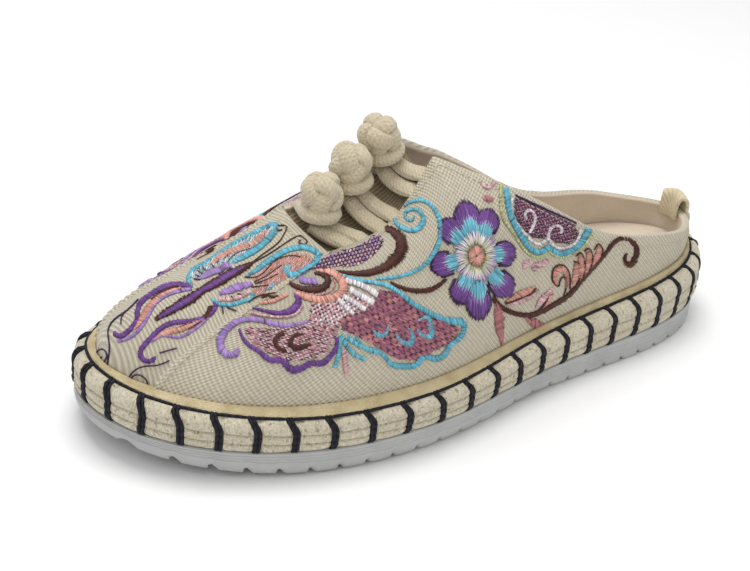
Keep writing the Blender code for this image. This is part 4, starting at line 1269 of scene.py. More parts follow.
def add_loop(number, frog):
    """Cord from under the inner edge, round the neck on a circle, and back beside itself."""
    seat, across, forward, up = frog_frame(frog)
    middle = seat + up * (GAP + STEM_THICKNESS + CORD_RADIUS)
    bend = NECK_RADIUS + GAP + CORD_RADIUS
    opened = np.arcsin((CORD_RADIUS + GAP) / bend)
    ring = [middle + bend * (across * np.cos(a) + forward * np.sin(a))
            for a in np.linspace(opened, 2 * np.pi - opened, 13)]
    place = np.array([frog["ends"]])
    ends = opening_edge(np.array([KNOTS[APRON_INNER], KNOTS[COLLAR_INNER]]))
    apart = (CORD_RADIUS + GAP) / np.linalg.norm(ends[1] - ends[0])
    tips = []
    for hand in (-1, 1):
        near, far = slot_edge_points(place + hand * apart, place + hand * apart, WALL + SOFT_GAP)
        inward = unit(far - near)[0]
        tips.append([far[0] + inward * reach + up * rise
                     for reach, rise in ((0.0010, 0.0014), (-0.0016, 0.0018))])
    order = [tips[0][0], tips[0][1]] + ring + [tips[1][1], tips[1][0]]
    path = smooth_path(order, 90)
    share = np.linspace(0, 1, 90)
    thick = np.interp(share, [0, 0.10, 0.9, 1], [0.5, 1, 1, 0.5])
    normals = np.broadcast_to(up, path.shape)
    part = cord(path, normals, CORD_RADIUS * (0.7 + 0.3 * thick), CORD_RADIUS * thick, 7)
    return add_piece(f"loop_cord_{number}", [part], cord_cotton, [f"frog_loop_{number}"])


def add_knot(number, frog):
    """Button knot: one cord wound three times round a ball while it swings up and down four times.

    Along the winding s the longitude is 3s, the latitude swings as cos 4s, and the radius as
    sin 8s, so that the cord goes over and under itself in turn. It is then turned and leant.
    """
    seat, across, forward, up = frog_frame(frog)
    ring = seat + up * (GAP + STEM_THICKNESS + CORD_RADIUS)
    middle = ring + up * (KNOT_HEIGHT + 0.0002)
    turn, lean = np.radians([frog["turn"], frog["lean"]])
    first = across * np.cos(turn) + forward * np.sin(turn)
    second = np.cross(up, first)
    axis = up * np.cos(lean) + first * np.sin(lean)
    first = np.cross(second, axis)
    s = np.pi / 4 + np.linspace(0, 2 * np.pi, 300)
    latitude = np.radians(KNOT_REACH) * np.cos(4 * s)
    radius = KNOT_CORE + KNOT_WEAVE * np.sin(8 * s)
    ray = (first * (np.cos(latitude) * np.cos(3 * s))[:, None]
           + second * (np.cos(latitude) * np.sin(3 * s))[:, None]
           + axis * np.sin(latitude)[:, None])
    path = middle + ray * radius[:, None]
    wound = cord(path, ray, KNOT_CORD_WIDTH, KNOT_CORD_HEIGHT, 8, 0.06)
    tilt = np.linspace(-np.pi / 2, np.pi / 2, 17)[:, None, None]
    spin = (np.arange(24) * np.pi / 12)[None, :, None]
    ball = middle + 1.06 * KNOT_CORE * (
        np.cos(tilt) * (np.cos(spin) * first + np.sin(spin) * second) + np.sin(tilt) * axis)
    neck = np.linspace(ring - up * CORD_RADIUS, middle, 8)
    neck = cord(neck, np.broadcast_to(first, neck.shape), NECK_RADIUS, NECK_RADIUS, 5, 0.05, 24)
    return add_piece(f"button_knot_{number}", [wound, surface(ball, wrap_columns=True), neck],
                     cord_cotton, [f"frog_knot_{number}"], merge=True)


for number, frog in enumerate(FROGS, start=1):
    add_stem(number, frog)
    add_loop(number, frog)
    add_knot(number, frog)

# Heel tab
# A short length of cream tape, folded over the collar at the back as a pull tab, and sewn
# through both faces.
TAB_RISE = 0.0062
TAB_STRIP = 0.0014
TAB_WIDTH = 0.0165
TAB_STAND = 0.0006          # tape's clearance from the cloth
TAB_SLUMP = 0.0009          # how far the fold is higher in its middle
TAB_COLUMNS, TAB_ROWS = 25, 61


def tape_finish():
    """Twill tape: slanting ribs, cream, unevenly soiled."""
    made, tree, shader = new_finish("twill_tape", 0.9, Sheen_Weight=0.25)
    twill = waves(tree, coordinates(tree, "UV"), 0.0012, "DIAGONAL", 0.6)
    cloud = noise(tree, coordinates(tree), 0.004, 5.0)
    colour = blend_colours(tree, cloud, linear(226, 214, 186), linear(204, 188, 152))
    colour = blend_colours(tree, times(tree, twill, 0.25), colour, linear(180, 160, 122))
    tree.links.new(colour, shader.inputs["Base Color"])
    emboss(tree, shader, twill, 0.0002)
    return made


def add_heel_tab():
    """The tape's middle line up the outside, round the fold and down inside, given its thickness."""
    at = np.linspace(-TAB_WIDTH / 2, TAB_WIDTH / 2, TAB_COLUMNS) + ROUND
    out = unit(canvas_normal(at, [0.5])[:, 0] * [1, 1, 0])
    stand = TAB_STAND + TAB_STRIP / 2
    outside = [on_cloth(at, np.full(TAB_COLUMNS, share), np.full(TAB_COLUMNS, stand))[0]
               for share in (0.45, 0.7, 0.9)]
    inside = [(canvas(at, [share]) - canvas_normal(at, [share]) * (WALL + stand))[:, 0]
              for share in (0.93, 0.80)]
    edge = (canvas(at, [1.0]) - canvas_normal(at, [1.0]) * (WALL / 2))[:, 0]
    half = WALL / 2 + stand
    slump = TAB_SLUMP * np.cos(np.linspace(-2.2, 2.2, TAB_COLUMNS))[:, None] * [0, 0, 1]
    fold = [edge + out * half * sway + [0, 0, rise * TAB_RISE] + slump * rise
            for sway, rise in ((1.0, 0.12), (0.95, 0.5), (0.7, 0.88), (0.0, 1.06), (-0.7, 0.9),
                               (-0.95, 0.5), (-1.0, 0.12))]
    line = np.array(outside + fold + inside)
    fine = np.linspace(0, len(line) - 1, TAB_ROWS)
    line = spline(np.arange(len(line)), line.reshape(len(line), -1), fine)[0]
    line = line.reshape(TAB_ROWS, TAB_COLUMNS, 3)
    face = unit(np.cross(np.gradient(line, axis=1), np.gradient(line, axis=0)))
    hem = np.interp(np.abs(np.linspace(-1, 1, TAB_COLUMNS)), [0, 0.84, 0.93, 1.0],
                    [1.0, 1.0, 1.12, 0.75])
    half_tape = (TAB_STRIP / 2 * hem)[None, :, None]
    front, behind = line + face * half_tape, line - face * half_tape
    around = surface(np.concatenate([front, behind[::-1]]), wrap_rows=True)
    sides = [surface(np.stack([front[:, k], behind[:, k]], axis=1)) for k in (0, -1)]
    return add_piece("tape_tab", [around] + sides, tape_finish(), ["heel_tab"], merge=True)


add_heel_tab()

# Embroidery
# Machine embroidery in glossy thread: a butterfly on the apron, and on each quarter a larger one
# with a blossom, a medallion and a leafy branch. Every stitch is a thread of its own. The
# strokes are drawn in the photo's pixels and traced back on to the cloth.
THREAD_HALF_WIDTH = 0.00020
THREAD_HALF_HEIGHT = 0.00016
STITCH_SPACING = 0.85       # pixels from one satin stitch to the next
SATIN_LEAST = 1.7           # pixels, the narrowest stroke
SHORTEST_STITCH, LONGEST_STITCH = 0.0002, 0.012
CROWN = 0.00035             # most that a stitch rises in its middle
LAYER_LIFT = 0.00011
DYES = {
    "purple": (122, 76, 152), "lilac": (172, 140, 200), "turquoise": (112, 190, 210),
    "brown": (88, 44, 34), "salmon": (226, 168, 152), "pale": (238, 228, 232),
    "mauve": (184, 118, 140), "lime": (204, 206, 150), "pink": (226, 184, 190),
    "plum": (66, 40, 84), "sky": (168, 216, 226), "rose": (206, 142, 144),
    "wine": (112, 62, 86), "orchid": (206, 168, 200),
}
stitches = {"apron": [], "quarter": []}
dice = np.random.default_rng(12)
layer = 0


def lay(group, start, end, dye):
    """Keeps stitches given by the pixels of their two ends, all of one dye, each a shade off."""
    colour = np.array(linear(*DYES[dye])[:3]) * (1 + dice.normal(0, 0.24, (len(start), 1)))
    stitches[group].append((start, end, np.clip(colour, 0, 1), np.full(len(start), layer)))


def satin(group, dye, width, points, slant=22):
    """Stitches side by side across a stroke, which is a smooth curve through its points.

    A point's third number is the stroke's width there. Without one, width holds all along.
    """
    points = np.array(points, float)
    wide = points[:, 2] if points.shape[1] > 2 else np.full(len(points), float(width))
    knots = run_lengths(points[:, :2])
    at = np.arange(0, knots[-1], STITCH_SPACING)
    place, slope = spline(knots, points[:, :2], at)
    x, y = unit(slope).T
    tilt = np.radians(90 - slant)
    across = np.stack([x * np.cos(tilt) - y * np.sin(tilt), x * np.sin(tilt) + y * np.cos(tilt)],
                      axis=1)
    half = np.maximum(np.interp(at, knots, wide), SATIN_LEAST)[:, None] / 2
    ends = 1 + dice.normal(0, 0.13, (2, len(at), 1))
    lay(group, place - across * half * ends[0], place + across * half * ends[1], dye)


def inside(points, polygon):
    """Which points lie in a polygon: an odd number of its sides crosses the level line from each."""
    a = np.array(polygon, float)
    b = np.roll(a, -1, axis=0)
    x, y = points[:, :1], points[:, 1:]
    crosses = (a[:, 1] > y) != (b[:, 1] > y)
    rise = np.where(b[:, 1] == a[:, 1], 1, b[:, 1] - a[:, 1])
    return (crosses & (x < a[:, 0] + (y - a[:, 1]) * (b[:, 0] - a[:, 0]) / rise)).sum(axis=1) % 2 == 1


def fill(group, dyes, polygon, angle, length, gap, threads=1, cover=0.96):
    """Rows of stitches in brick order over a polygon, each place in one of the dyes.

    threads gives how many lie side by side at a place, and cover how much of the length is sewn.
    """
    angle = np.radians(angle)
    ahead = np.array([np.cos(angle), np.sin(angle)])
    across = np.array([-np.sin(angle), np.cos(angle)])
    corners = np.array(polygon, float)
    u, v = corners @ ahead, corners @ across
    rows = np.arange(v.min(), v.max(), gap)
    steps = np.arange(u.min(), u.max(), length)
    row, step = np.meshgrid(np.arange(len(rows)), steps, indexing="ij")
    along_row = step + (row % 2) * length / 2 + dice.normal(0, 0.05 * length, row.shape)
    middle = along_row[..., None] * ahead + rows[row][..., None] * across
    middle = middle.reshape(-1, 2)
    middle = middle[inside(middle, polygon)]
    spread_out = (np.arange(threads) - (threads - 1) / 2) * STITCH_SPACING * 1.15
    middle = (middle[:, None] + spread_out[:, None] * across).reshape(-1, 2)
    half = ahead * length * cover / 2
    which = np.repeat(dice.integers(0, len(dyes), len(middle) // threads), threads)
    for number, dye in enumerate(dyes):
        chosen = middle[which == number]
        lay(group, chosen - half, chosen + half, dye)


# The apron's butterfly. Its fills come first: dyes, outline in pixels, angle, stitch length, gap
# between rows, threads side by side and cover
APRON_FILLS = (
    (("sky", "pale"), ((190.5, 275), (203.9, 265), (227.8, 249), (251.7, 235.8), (275.7, 225.5),
                       (271.8, 234.1), (264.2, 242.7), (251.7, 252.3), (238, 260.5), (229.7, 263),
                       (219, 266), (206, 271), (196, 279)), -75, 5.0, 0.95, 1, 0.95),
    (("salmon", "salmon", "pink"), ((249, 277), (258, 274), (268, 266), (280, 258), (296, 253),
                                    (309, 256), (312, 262), (302, 270), (290, 275.5),
                                    (271.8, 287.7), (256.5, 296.3), (251.7, 290.6), (262, 284)),
     -65, 5.0, 0.95, 1, 0.95),
)
# Strokes: dye, width in pixels, and points, a point's third number being the width there
APRON_WINGS = (
    ("lilac", None, ((199, 279, 3), (207, 275, 8), (216, 271, 9), (223, 268, 7), (227, 265.5, 9),
                     (231, 266, 5))),
    ("lilac", None, ((219, 294, 4), (228, 291, 9), (238, 287, 10), (247, 285, 7), (253, 284, 3))),
    ("pink", 5, ((219.2, 299.2), (231.7, 299.2), (241.2, 296.3), (249.8, 291.5))),
    ("salmon", None, ((211.6, 264.7, 4), (221.1, 257.1, 7), (239.3, 249, 7), (252, 244, 6),
                      (261, 238, 8), (265.5, 231, 5))),
    ("turquoise", None, ((192.4, 285.8, 4), (188.6, 281, 5), (190.5, 273.4, 5), (203.9, 263.8, 4),
                         (227.8, 247.5, 4), (251.7, 234.1, 4), (268, 226.5, 5),
                         (275.7, 224.6, 6), (272.5, 234.1, 8), (264.7, 242.7, 8),
                         (252, 252.3, 8), (241.2, 258, 7), (233.6, 262.5, 4))),
    ("turquoise", None, ((247, 276.2, 3), (256.5, 270.4, 6), (266.1, 262.8, 7), (275.7, 256.5, 7),
                         (285.2, 251.3, 7), (299.6, 247.5, 7), (312, 249.4, 8),
                         (319, 254.6, 9), (316, 260.5, 9), (311, 265.2, 8), (302, 271, 8),
                         (291, 274.5, 8), (286, 271, 7), (287, 267.2, 6), (291, 266.5, 4))),
    ("turquoise", 4, ((273.8, 283), (269.9, 288.7))),
    ("turquoise", None, ((211.8, 299.2, 3), (217.3, 303.2, 5), (233.6, 304.5, 5), (245, 301, 5),
                         (252.7, 296.8, 5), (252, 292.5, 3))),
    ("salmon", None, ((181, 288, 2), (165, 294, 5), (152, 304, 8), (145, 314, 9), (139, 324, 5),
                      (134, 330, 2))),
    ("salmon", None, ((205, 318, 3), (192, 324.5, 7), (178, 329.5, 8), (165, 333, 7),
                      (155, 339, 3))),
    ("purple", 6, ((191.2, 286), (178, 284.5), (163.3, 287.5), (148.7, 296.3), (138.4, 308),
                   (136.9, 319.7), (129.6, 330), (119.3, 335.9), (113.5, 333))),
    ("lilac", 4, ((191.2, 289), (172.1, 293.5), (156, 303.5), (148.7, 315.3), (141.5, 327.1),
                  (128, 338.5), (117.9, 341.3))),
    ("purple", 6, ((216.2, 302.1), (213.2, 310.9), (205.9, 316.8), (189.8, 321.2), (173.6, 322.7),
                   (158.9, 330), (148.7, 340.3), (141.3, 349.1), (140.6, 356.4), (145.7, 360.8),
                   (153.1, 359.4), (153.1, 357.2))),
    ("lilac", 3.5, ((214.7, 308), (204.4, 321.2), (191.2, 331.5), (178, 337.4), (160.4, 335.9),
                    (151.6, 341.8))),
)
APRON_LINES = (
    ("brown", 1.7, ((227.8, 262.8), (236.4, 254.2), (247, 250.4), (256.5, 246.6), (264.2, 238.9),
                    (265.1, 233))),
    ("brown", 1.7, ((224, 260), (231.7, 252.3), (239.3, 248.5), (250.8, 246.6))),
    ("brown", 1.7, ((217.3, 263.8), (222.1, 256.1))),
    ("brown", 1.7, ((194.4, 279.5), (200, 280))), ("brown", 1.7, ((196, 275.5), (200.5, 277.5))),
    ("brown", 1.7, ((198, 271.5), (202.5, 274.5))), ("brown", 1.7, ((203, 268.5), (206.5, 271.5))),
    ("brown", 1.7, ((211.5, 264.5), (214.5, 268))), ("brown", 1.7, ((225, 298.2), (226.5, 301))),
    ("brown", 1.7, ((231.5, 296.5), (233.5, 300.5))), ("brown", 1.7, ((238, 294), (243, 295.5))),
    ("brown", 1.7, ((245, 277.2), (256.5, 277.2), (264.2, 272.4), (271.8, 263.8), (281.4, 258),
                    (292.9, 256.1), (300.5, 257.1))),
    ("brown", 1.7, ((254.6, 282), (263.2, 278.1), (271.8, 272.4), (281.4, 265.7))),
    ("brown", 1.7, ((255.6, 283.8), (266.1, 280.1), (277.6, 274.3))),
    ("brown", 1.7, ((251.7, 287.2), (268, 285.8))),
    ("brown", 1.6, ((176.5, 328.5), (192.7, 322.7))),
    ("brown", 1.6, ((188.3, 329.3), (201.5, 321.2))),
    ("brown", 3, ((178, 286), (163.3, 291.9), (151.6, 300.7))),
    ("plum", 1.8, ((222, 306.5), (223.5, 313.9))),
    ("plum", 1.8, ((228, 308), (236, 311))),
    ("brown", 6, ((210.3, 306.5), (208.8, 313.9), (204.4, 318.3))),
    ("brown", None, ((156, 319.7, 5), (172.1, 309.5, 10), (192.7, 297.7, 12), (203, 290.4, 8),
                     (216.2, 283.1, 12), (233.8, 272.8, 11), (248.4, 265.5, 7), (252.8, 262.5, 3))),
    ("brown", 1.7, ((252.8, 262.5), (266, 252.3), (279.2, 242), (285.1, 232.5), (286.6, 227.3),
                    (280.7, 225.9), (276.3, 228), (279.2, 231), (282.2, 229.5))),
    ("brown", 1.7, ((252.8, 263.3), (273.4, 251.5), (292.4, 239), (299.8, 236.1), (305.6, 237.6),
                    (307.1, 242), (303.4, 244.9), (299, 242), (301.2, 239.8))),
    ("plum", 1.3, ((138.4, 300), (125.2, 312.4), (113.5, 321.2), (109.1, 328.6), (109.8, 344.7),
                   (109.1, 356.4), (107.6, 365.2))),
    ("plum", 1.3, ((97.3, 356.4), (98.8, 350.6), (103.2, 349.1), (106.9, 353.5), (106.1, 359.4),
                   (101.7, 362.3), (100.3, 359.4), (102.5, 356.4))),
    ("plum", 1.3, ((121.5, 324.2), (122.3, 316.8), (125.9, 311.7))),
    ("plum", 1.3, ((169.2, 360.8), (157.5, 365.2), (142.8, 366.7), (132.5, 372.6), (128.1, 379.9))),
    ("plum", 1.3, ((131.1, 379.9), (134, 375.5), (141.3, 375.5), (147.2, 381.4), (148.7, 388.7))),
    ("plum", 1.3, ((160.4, 352.8), (176.5, 348.3))),
)
for row in APRON_FILLS:
    fill("apron", *row)
layer = 1
for row in APRON_WINGS:
    satin("apron", *row)
layer = 2
for dye, width, points in APRON_LINES:
    satin("apron", dye, width, points, slant=48 if width and width < 2 else 15)
layer = 4
satin("apron", "purple", None, ((160, 318, 3), (170, 311.5, 6), (181, 305, 7.5), (193, 297.7, 7.5),
                                (203, 290.5, 5), (212, 286, 7.5), (222, 279.5, 7.5),
                                (233.8, 272.8, 7), (244, 267, 3)))

# The quarter's motifs. Its two fills of more than one layer have their outlines here, in pixels
SCALE_WING = ((376.9, 291.2), (392.3, 291.2), (410.6, 305), (429, 317.2), (447.4, 323.4),
              (459.6, 328), (456.5, 334.1), (444.3, 346.3), (429, 352.5), (413.7, 360.1),
              (395.3, 358.6), (376.9, 346.3), (358.6, 337.1), (341.7, 329.5), (340.2, 318.8),
              (346.3, 315.7), (367.8, 309.6), (376.9, 300.4))
SLOT_PATCH = ((311.1, 268.3), (321.8, 259.1), (337.1, 251.4), (346.3, 249.9), (361.6, 245.3),
              (372.4, 236.1), (381.5, 236.1), (383.1, 243.8), (375.4, 254.5), (364.7, 262.1),
              (352.5, 266), (328, 267.5))
# The grounds are laid first, and the open grains over them: dyes, outline, angle, stitch length,
# gap between rows, threads and cover. Where the grounds show between the grains, their dark wine
# and plum stitches are partly the thread's own colour and partly painted shade in the gaps.
QUARTER_FILLS = (
    (("rose", "wine", "pink"), ((243.8, 328), (275.9, 328), (309.6, 321.8), (312, 303), (333, 301),
                                (345, 296), (377, 298), (368, 308), (346, 315), (340, 320),
                                (335.6, 334.1), (328, 352.5), (309.6, 360.1), (288.2, 361.6),
                                (268.3, 352.5), (249.9, 340.2)), 20, 5.0, 0.95, 1, 0.95),
    (("wine", "mauve"), SCALE_WING, 30, 5.0, 0.95, 1, 0.95),
    (("wine", "plum"), SLOT_PATCH, -28, 5.0, 0.95, 1, 0.95),
    (("wine", "plum", "wine"), ((515.3, 196.4), (573.8, 224), (578.4, 234.3), (569.3, 243.5),
                                (557.8, 243.5), (547.4, 237.7), (534.8, 238.9), (523.3, 229.7),
                                (514.1, 215.9)), 26, 4.5, 0.9, 1, 0.95),
)
QUARTER_GRAINS = (
    (("pale", "pink", "pale"), ((312, 303), (333, 301), (345, 296), (377, 298), (368, 308),
                                (346, 315), (340, 320), (330, 330), (309.6, 321.8)),
     -70, 5.5, 2.3, 2, 0.8),
    (("pale", "pink", "pale"), ((243.8, 328), (275.9, 328), (309.6, 321.8), (315.7, 321.8),
                                (335.6, 334.1), (328, 352.5), (309.6, 360.1), (288.2, 361.6),
                                (268.3, 352.5), (249.9, 340.2)), 20, 5.0, 2.1, 1, 0.7),
    (("mauve", "rose", "mauve"), SCALE_WING, 30, 7.5, 4.0, 4, 0.84),
    (("orchid", "pink", "lilac"), SLOT_PATCH, -68, 4.4, 3.0, 2, 0.78),
    (("orchid", "pink", "mauve"), ((515.3, 197.4), (573.8, 225), (577.4, 234.3), (569.3, 242.5),
                                   (557.8, 242.5), (547.4, 236.7), (534.8, 237.9),
                                   (523.3, 229.7), (515.1, 215.9)), 70, 2.8, 3.0, 1, 0.9),
    (("orchid", "mauve"), ((515.3, 198.4), (573.8, 226), (576.4, 234.3), (568.3, 242.5),
                           (557.8, 241.5), (547.4, 235.7), (534.8, 236.9), (523.3, 229.7),
                           (515.1, 215.9)), -15, 2.8, 3.4, 1, 0.9),
)
QUARTER_STROKES = (
    ("salmon", None, ((294.3, 292.8, 4), (301.9, 295.8, 7), (315.7, 299.6, 9), (329.5, 298.9, 10),
                      (340.2, 294.3, 11), (343.3, 286.6, 11), (338.7, 277.5, 10), (328, 272.1, 7),
                      (315.7, 270.6, 4))),
    ("lilac", 8, ((299.6, 279), (306.5, 281.3), (317.2, 282))),
    ("purple", None, ((253, 308.1, 2), (265.2, 311.1, 4), (279, 313.4, 6), (291.2, 311.1, 9),
                      (297.4, 305, 10), (297.4, 297.3, 7), (294.3, 295.1, 3))),
    ("salmon", 5, ((260.6, 303), (270, 302), (280.5, 298), (287, 294.5))),
    ("brown", 3, ((262.1, 298.1), (268.3, 295.8), (274.4, 297.3), (277.4, 295.8))),
    ("brown", None, ((289.7, 282.8, 4), (297.3, 287.4, 6), (312.7, 289.7, 8), (324.9, 286.6, 9),
                     (328, 280.5, 8), (321.8, 274.4, 6), (314.2, 273.6, 3))),
    ("brown", None, ((337, 271.3, 2), (352, 273.5, 5), (368, 273, 8), (383, 268.5, 10),
                     (394.5, 260.5, 13), (401.5, 250, 14.5), (401, 240, 13.5), (394, 232.5, 10),
                     (385, 228.5, 6), (377, 229.5, 3))),
    ("lilac", None, ((308.6, 321.2, 3), (283.6, 325.6, 6), (263.1, 321.2, 6), (244, 319.7, 6),
                     (230.8, 325.6, 8), (222, 335.9, 9), (220.5, 344.7, 9), (223.5, 352, 9),
                     (230.8, 355, 8), (236.7, 352, 8), (236, 349.1, 5))),
    ("purple", None, ((239.2, 329.5, 3), (246.8, 343.3, 5), (260.6, 352.5, 6), (271.3, 360.1, 7),
                      (280.5, 360.1, 7), (291.2, 369.3, 9), (301.9, 367.8, 8), (312.7, 363.2, 7),
                      (321.8, 363.2, 7), (329.5, 357, 6), (335.6, 347.9, 5), (337.1, 337.1, 4))),
    ("brown", 6, ((283.6, 334.1), (277.5, 337.1), (275.2, 343.3), (280.5, 349.4), (286.6, 350.9))),
    ("brown", None, ((301.9, 334.1, 2), (292.8, 337.1, 5), (290.5, 343.3, 8), (295.8, 347.9, 8),
                     (303.5, 346.3, 7), (311.1, 344, 3))),
    ("turquoise", 5, ((340.2, 335.6), (338.7, 352.5), (334.1, 367.8))),
    ("turquoise", 5, ((340.2, 335.6), (347.9, 347.9), (358.6, 357), (364.7, 358.6))),
    ("turquoise", 5.5, ((346.3, 337.1), (355.5, 343.3), (367.8, 349.4), (376.9, 352.5))),
    ("pink", 6, ((343.3, 350.9), (346.3, 373.9))),
    ("turquoise", None, ((343.3, 275.9, 3), (358.6, 280.5, 5), (375.4, 282.8, 5),
                         (392.3, 288.2, 5), (410.6, 301.9, 6), (429, 312.7, 6), (447.4, 320.3, 7),
                         (464.2, 321.8, 9))),
    ("turquoise", None, ((464.2, 323.4, 6), (461.1, 335.6, 6), (450.4, 344.8, 6), (444.3, 354, 7),
                         (433.6, 358.6, 7), (424.4, 357, 6), (415.2, 364.7, 7), (403, 366.2, 7),
                         (392.3, 364.7, 6), (384.6, 357, 5), (376.9, 350.9, 5), (364.7, 347.9, 5),
                         (355.5, 337.1, 3))),
    ("turquoise", None, ((418.3, 320.3, 3), (427.5, 317.2, 5), (430.5, 328, 7), (430.5, 335.6, 7),
                         (422.9, 335.6, 6), (416.7, 329.5, 3))),
    ("turquoise", None, ((407.5, 328, 2), (412.1, 335.6, 6), (409.1, 343.3, 8), (401.4, 341.7, 6),
                         (395.3, 332.5, 2))),
    ("turquoise", None, ((387.7, 326.4, 2), (384.6, 334.1, 5), (378.5, 335.6, 7), (372.4, 328, 2))),
    ("turquoise", None, ((395.6, 214.5, 2), (403.2, 207, 3), (413, 201.5, 4), (421.7, 200.4, 4.5),
                         (431.4, 205.9, 4.5), (437.9, 215.6, 5), (440.5, 228, 5.5),
                         (439.5, 240, 5.5), (434.5, 252, 5.5), (425.5, 264, 5), (412, 272.5, 4.5),
                         (395, 277.3, 4), (376, 279, 3))),
    ("turquoise", None, ((395.6, 214.5, 3), (394.5, 220, 4), (400, 226.5, 5), (407.6, 230.3, 5.5),
                         (416.2, 229.7, 6), (422.7, 223.2, 6), (422.7, 215.6, 5),
                         (417.3, 210.2, 4), (409.7, 210.2, 3.5), (405.4, 214.5, 3.5),
                         (407.6, 220, 3), (413, 220, 2.5), (414.1, 216.7, 2))),
    ("brown", None, ((390.7, 282.8, 3), (403, 288.2, 5), (418.3, 291.2, 6), (433.6, 288.2, 6),
                     (445.8, 279, 4))),
    ("lime", 3, ((500.4, 183.8), (500.4, 204.4), (502.7, 218.2), (511.8, 232), (518.7, 242.3),
                 (530.2, 255), (542.8, 255), (547.4, 252.1), (555.5, 256.1), (569.3, 255),
                 (583, 246), (592, 232))),
    ("turquoise", 7, ((505, 186.1), (507.3, 198.7), (510.7, 215.9), (518.7, 232), (525.6, 243.5),
                      (534.8, 251.5), (541.7, 251.5), (547.4, 248.1), (552, 250.4),
                      (558.9, 253.8), (569.3, 251.5), (580.7, 242.3), (588.8, 228.6))),
    ("pale", 3.5, ((511.8, 197.6), (511.8, 215.9), (519.9, 228.6), (529.1, 238.9), (540.6, 243.5),
                   (547.4, 238.9), (552, 244.6), (562.4, 248.1), (572.7, 244.6), (579.6, 234.3),
                   (580.7, 227.4))),
    ("pale", 3.5, ((526, 219), (524.5, 213.5), (529, 210.5), (533.5, 213.5), (534.5, 220.5),
                   (532, 227.5), (529.1, 232.8))),
    ("pale", 3.5, ((550, 243.2), (548, 234.3), (551.5, 227.4), (558, 226), (561.5, 229.7),
                   (560, 233.3))),
    ("plum", 2.5, ((515.3, 195.6), (576.1, 223.2))),
    ("rose", None, ((483, 199, 3), (486.5, 199, 9), (490, 198.5, 8), (492.5, 198, 3))),
    ("pink", 4, ((482, 184), (487, 188), (492.8, 184), (495, 181))),
    ("pink", None, ((524, 268, 4), (527, 263, 9), (531, 263, 5), (534.5, 269, 6), (538, 264, 8),
                    (542, 266, 4), (545, 262, 8), (549, 261, 3))),
    ("rose", None, ((495.5, 302, 3), (497.5, 312, 10), (499, 321, 12), (500, 331, 9),
                    (501, 338, 5), (501.4, 345, 2))),
    ("salmon", None, ((504.5, 302.9, 2), (512, 298.5, 5), (520, 294, 8), (528, 290.5, 7),
                      (534.8, 287, 2))),
    ("pink", None, ((506, 305, 2), (515, 303, 5), (524, 299, 6), (532, 295, 5), (539, 290, 2))),
    ("pink", None, ((536, 308, 3), (540.5, 301, 7), (546, 295, 7), (551.4, 288, 2))),
    ("salmon", None, ((542, 308, 2), (547.5, 301, 4), (550.9, 294, 4), (551.4, 289, 2))),
    ("rose", None, ((524, 316, 3), (530, 321, 9), (537, 324.5, 12), (543, 326, 8),
                    (546, 327, 3))),
    ("salmon", None, ((556, 284, 4), (554.5, 274, 8), (560.5, 268.5, 8), (566, 275, 6),
                      (566, 288, 3))),
    ("salmon", None, ((573.5, 285, 3), (575, 276, 8), (576, 268, 8), (575.5, 262.5, 4))),
    ("salmon", None, ((579.5, 280, 3), (581, 270, 7), (580.5, 261, 8), (579, 254.5, 4))),
    ("salmon", None, ((584, 276, 3), (587.5, 265, 7), (588.5, 256, 7), (587, 250, 4))),
    ("salmon", None, ((591, 269, 3), (595.5, 258.5, 7), (598.5, 251, 7), (598, 246, 3))),
    ("brown", None, ((492.3, 297.4, 6), (500.4, 306.6, 6), (511.8, 312.4, 6), (525.6, 315.2, 6),
                     (538.3, 312.4, 6), (552, 305.5, 6), (569.3, 294, 6), (577.3, 284.6, 6),
                     (594.5, 265.1, 6), (608.3, 249, 5), (617.5, 239.8, 5), (629, 239.8, 5),
                     (635.9, 247.8, 6), (634.8, 258.2, 7), (629, 265.1, 7), (624.4, 260.5, 5),
                     (626.2, 253.6, 3))),
)
QUARTER_LINES = (
    ("pale", 7, ((346, 281), (362, 286), (377, 295))), ("pale", 7, ((350, 290), (373, 303))),
    ("pale", 6, ((343, 296), (365, 309.6))), ("pale", 5, ((338, 300), (353, 314))),
    ("brown", 3, ((504.5, 303), (514, 300.3), (523, 297), (531, 292.8), (534.8, 287.5))),
    ("brown", 2.8, ((537.1, 311.5), (541.2, 307.4), (545.8, 299.8), (548.4, 293.2))),
    ("brown", 2.8, ((495.3, 304.4), (497.9, 313.6), (500.4, 320.7), (502.4, 328.9))),
    ("brown", 3.2, ((526.9, 316.6), (533, 321), (540.7, 325.3))),
    ("brown", 1.9, ((563.5, 294), (565.8, 282.5), (563.5, 276.8), (560.1, 278.9), (557.8, 285.8),
                    (553.5, 283), (551.5, 275.6), (553.2, 268.2), (559.5, 264.7),
                    (564.7, 266.5), (568.7, 273.3), (569.3, 288.3))),
    ("brown", 1.9, ((577.3, 285), (579.8, 272), (577.5, 262.5), (573, 261.5))),
    ("brown", 1.9, ((580.5, 281), (584, 270), (583, 257.5), (580, 252.8), (575.5, 256))),
    ("brown", 1.9, ((585, 277), (590.5, 265.5), (591.5, 253.8), (587.5, 248.2), (583.8, 251))),
    ("brown", 1.9, ((591.5, 270.5), (599, 258.5), (602, 249), (598.5, 244.2), (593.4, 250.5))),
    ("brown", 1.6, ((249, 302), (258, 296.5), (266, 294.5), (275, 293))),
    ("pink", 3, ((250, 313), (262, 315.5), (280, 317.5), (296, 314), (303, 306))),
    ("wine", 1.7, ((302, 274), (311, 269), (325, 269.5))),
    ("rose", 1.8, ((296, 291), (312, 295.5), (328, 293), (335, 285), (333, 278.5))),
)
# The blossom: its middle, its petals' tips and their half width
BLOSSOM = np.array([475.1, 256.1])
PETAL_TIPS = ((462.5, 201), (490, 209), (516.4, 252.7), (512, 296), (478.5, 320.4), (456.7, 304.3),
              (430.3, 267.6), (441.8, 220.5))
PETAL_HALF_WIDTH = 16.0


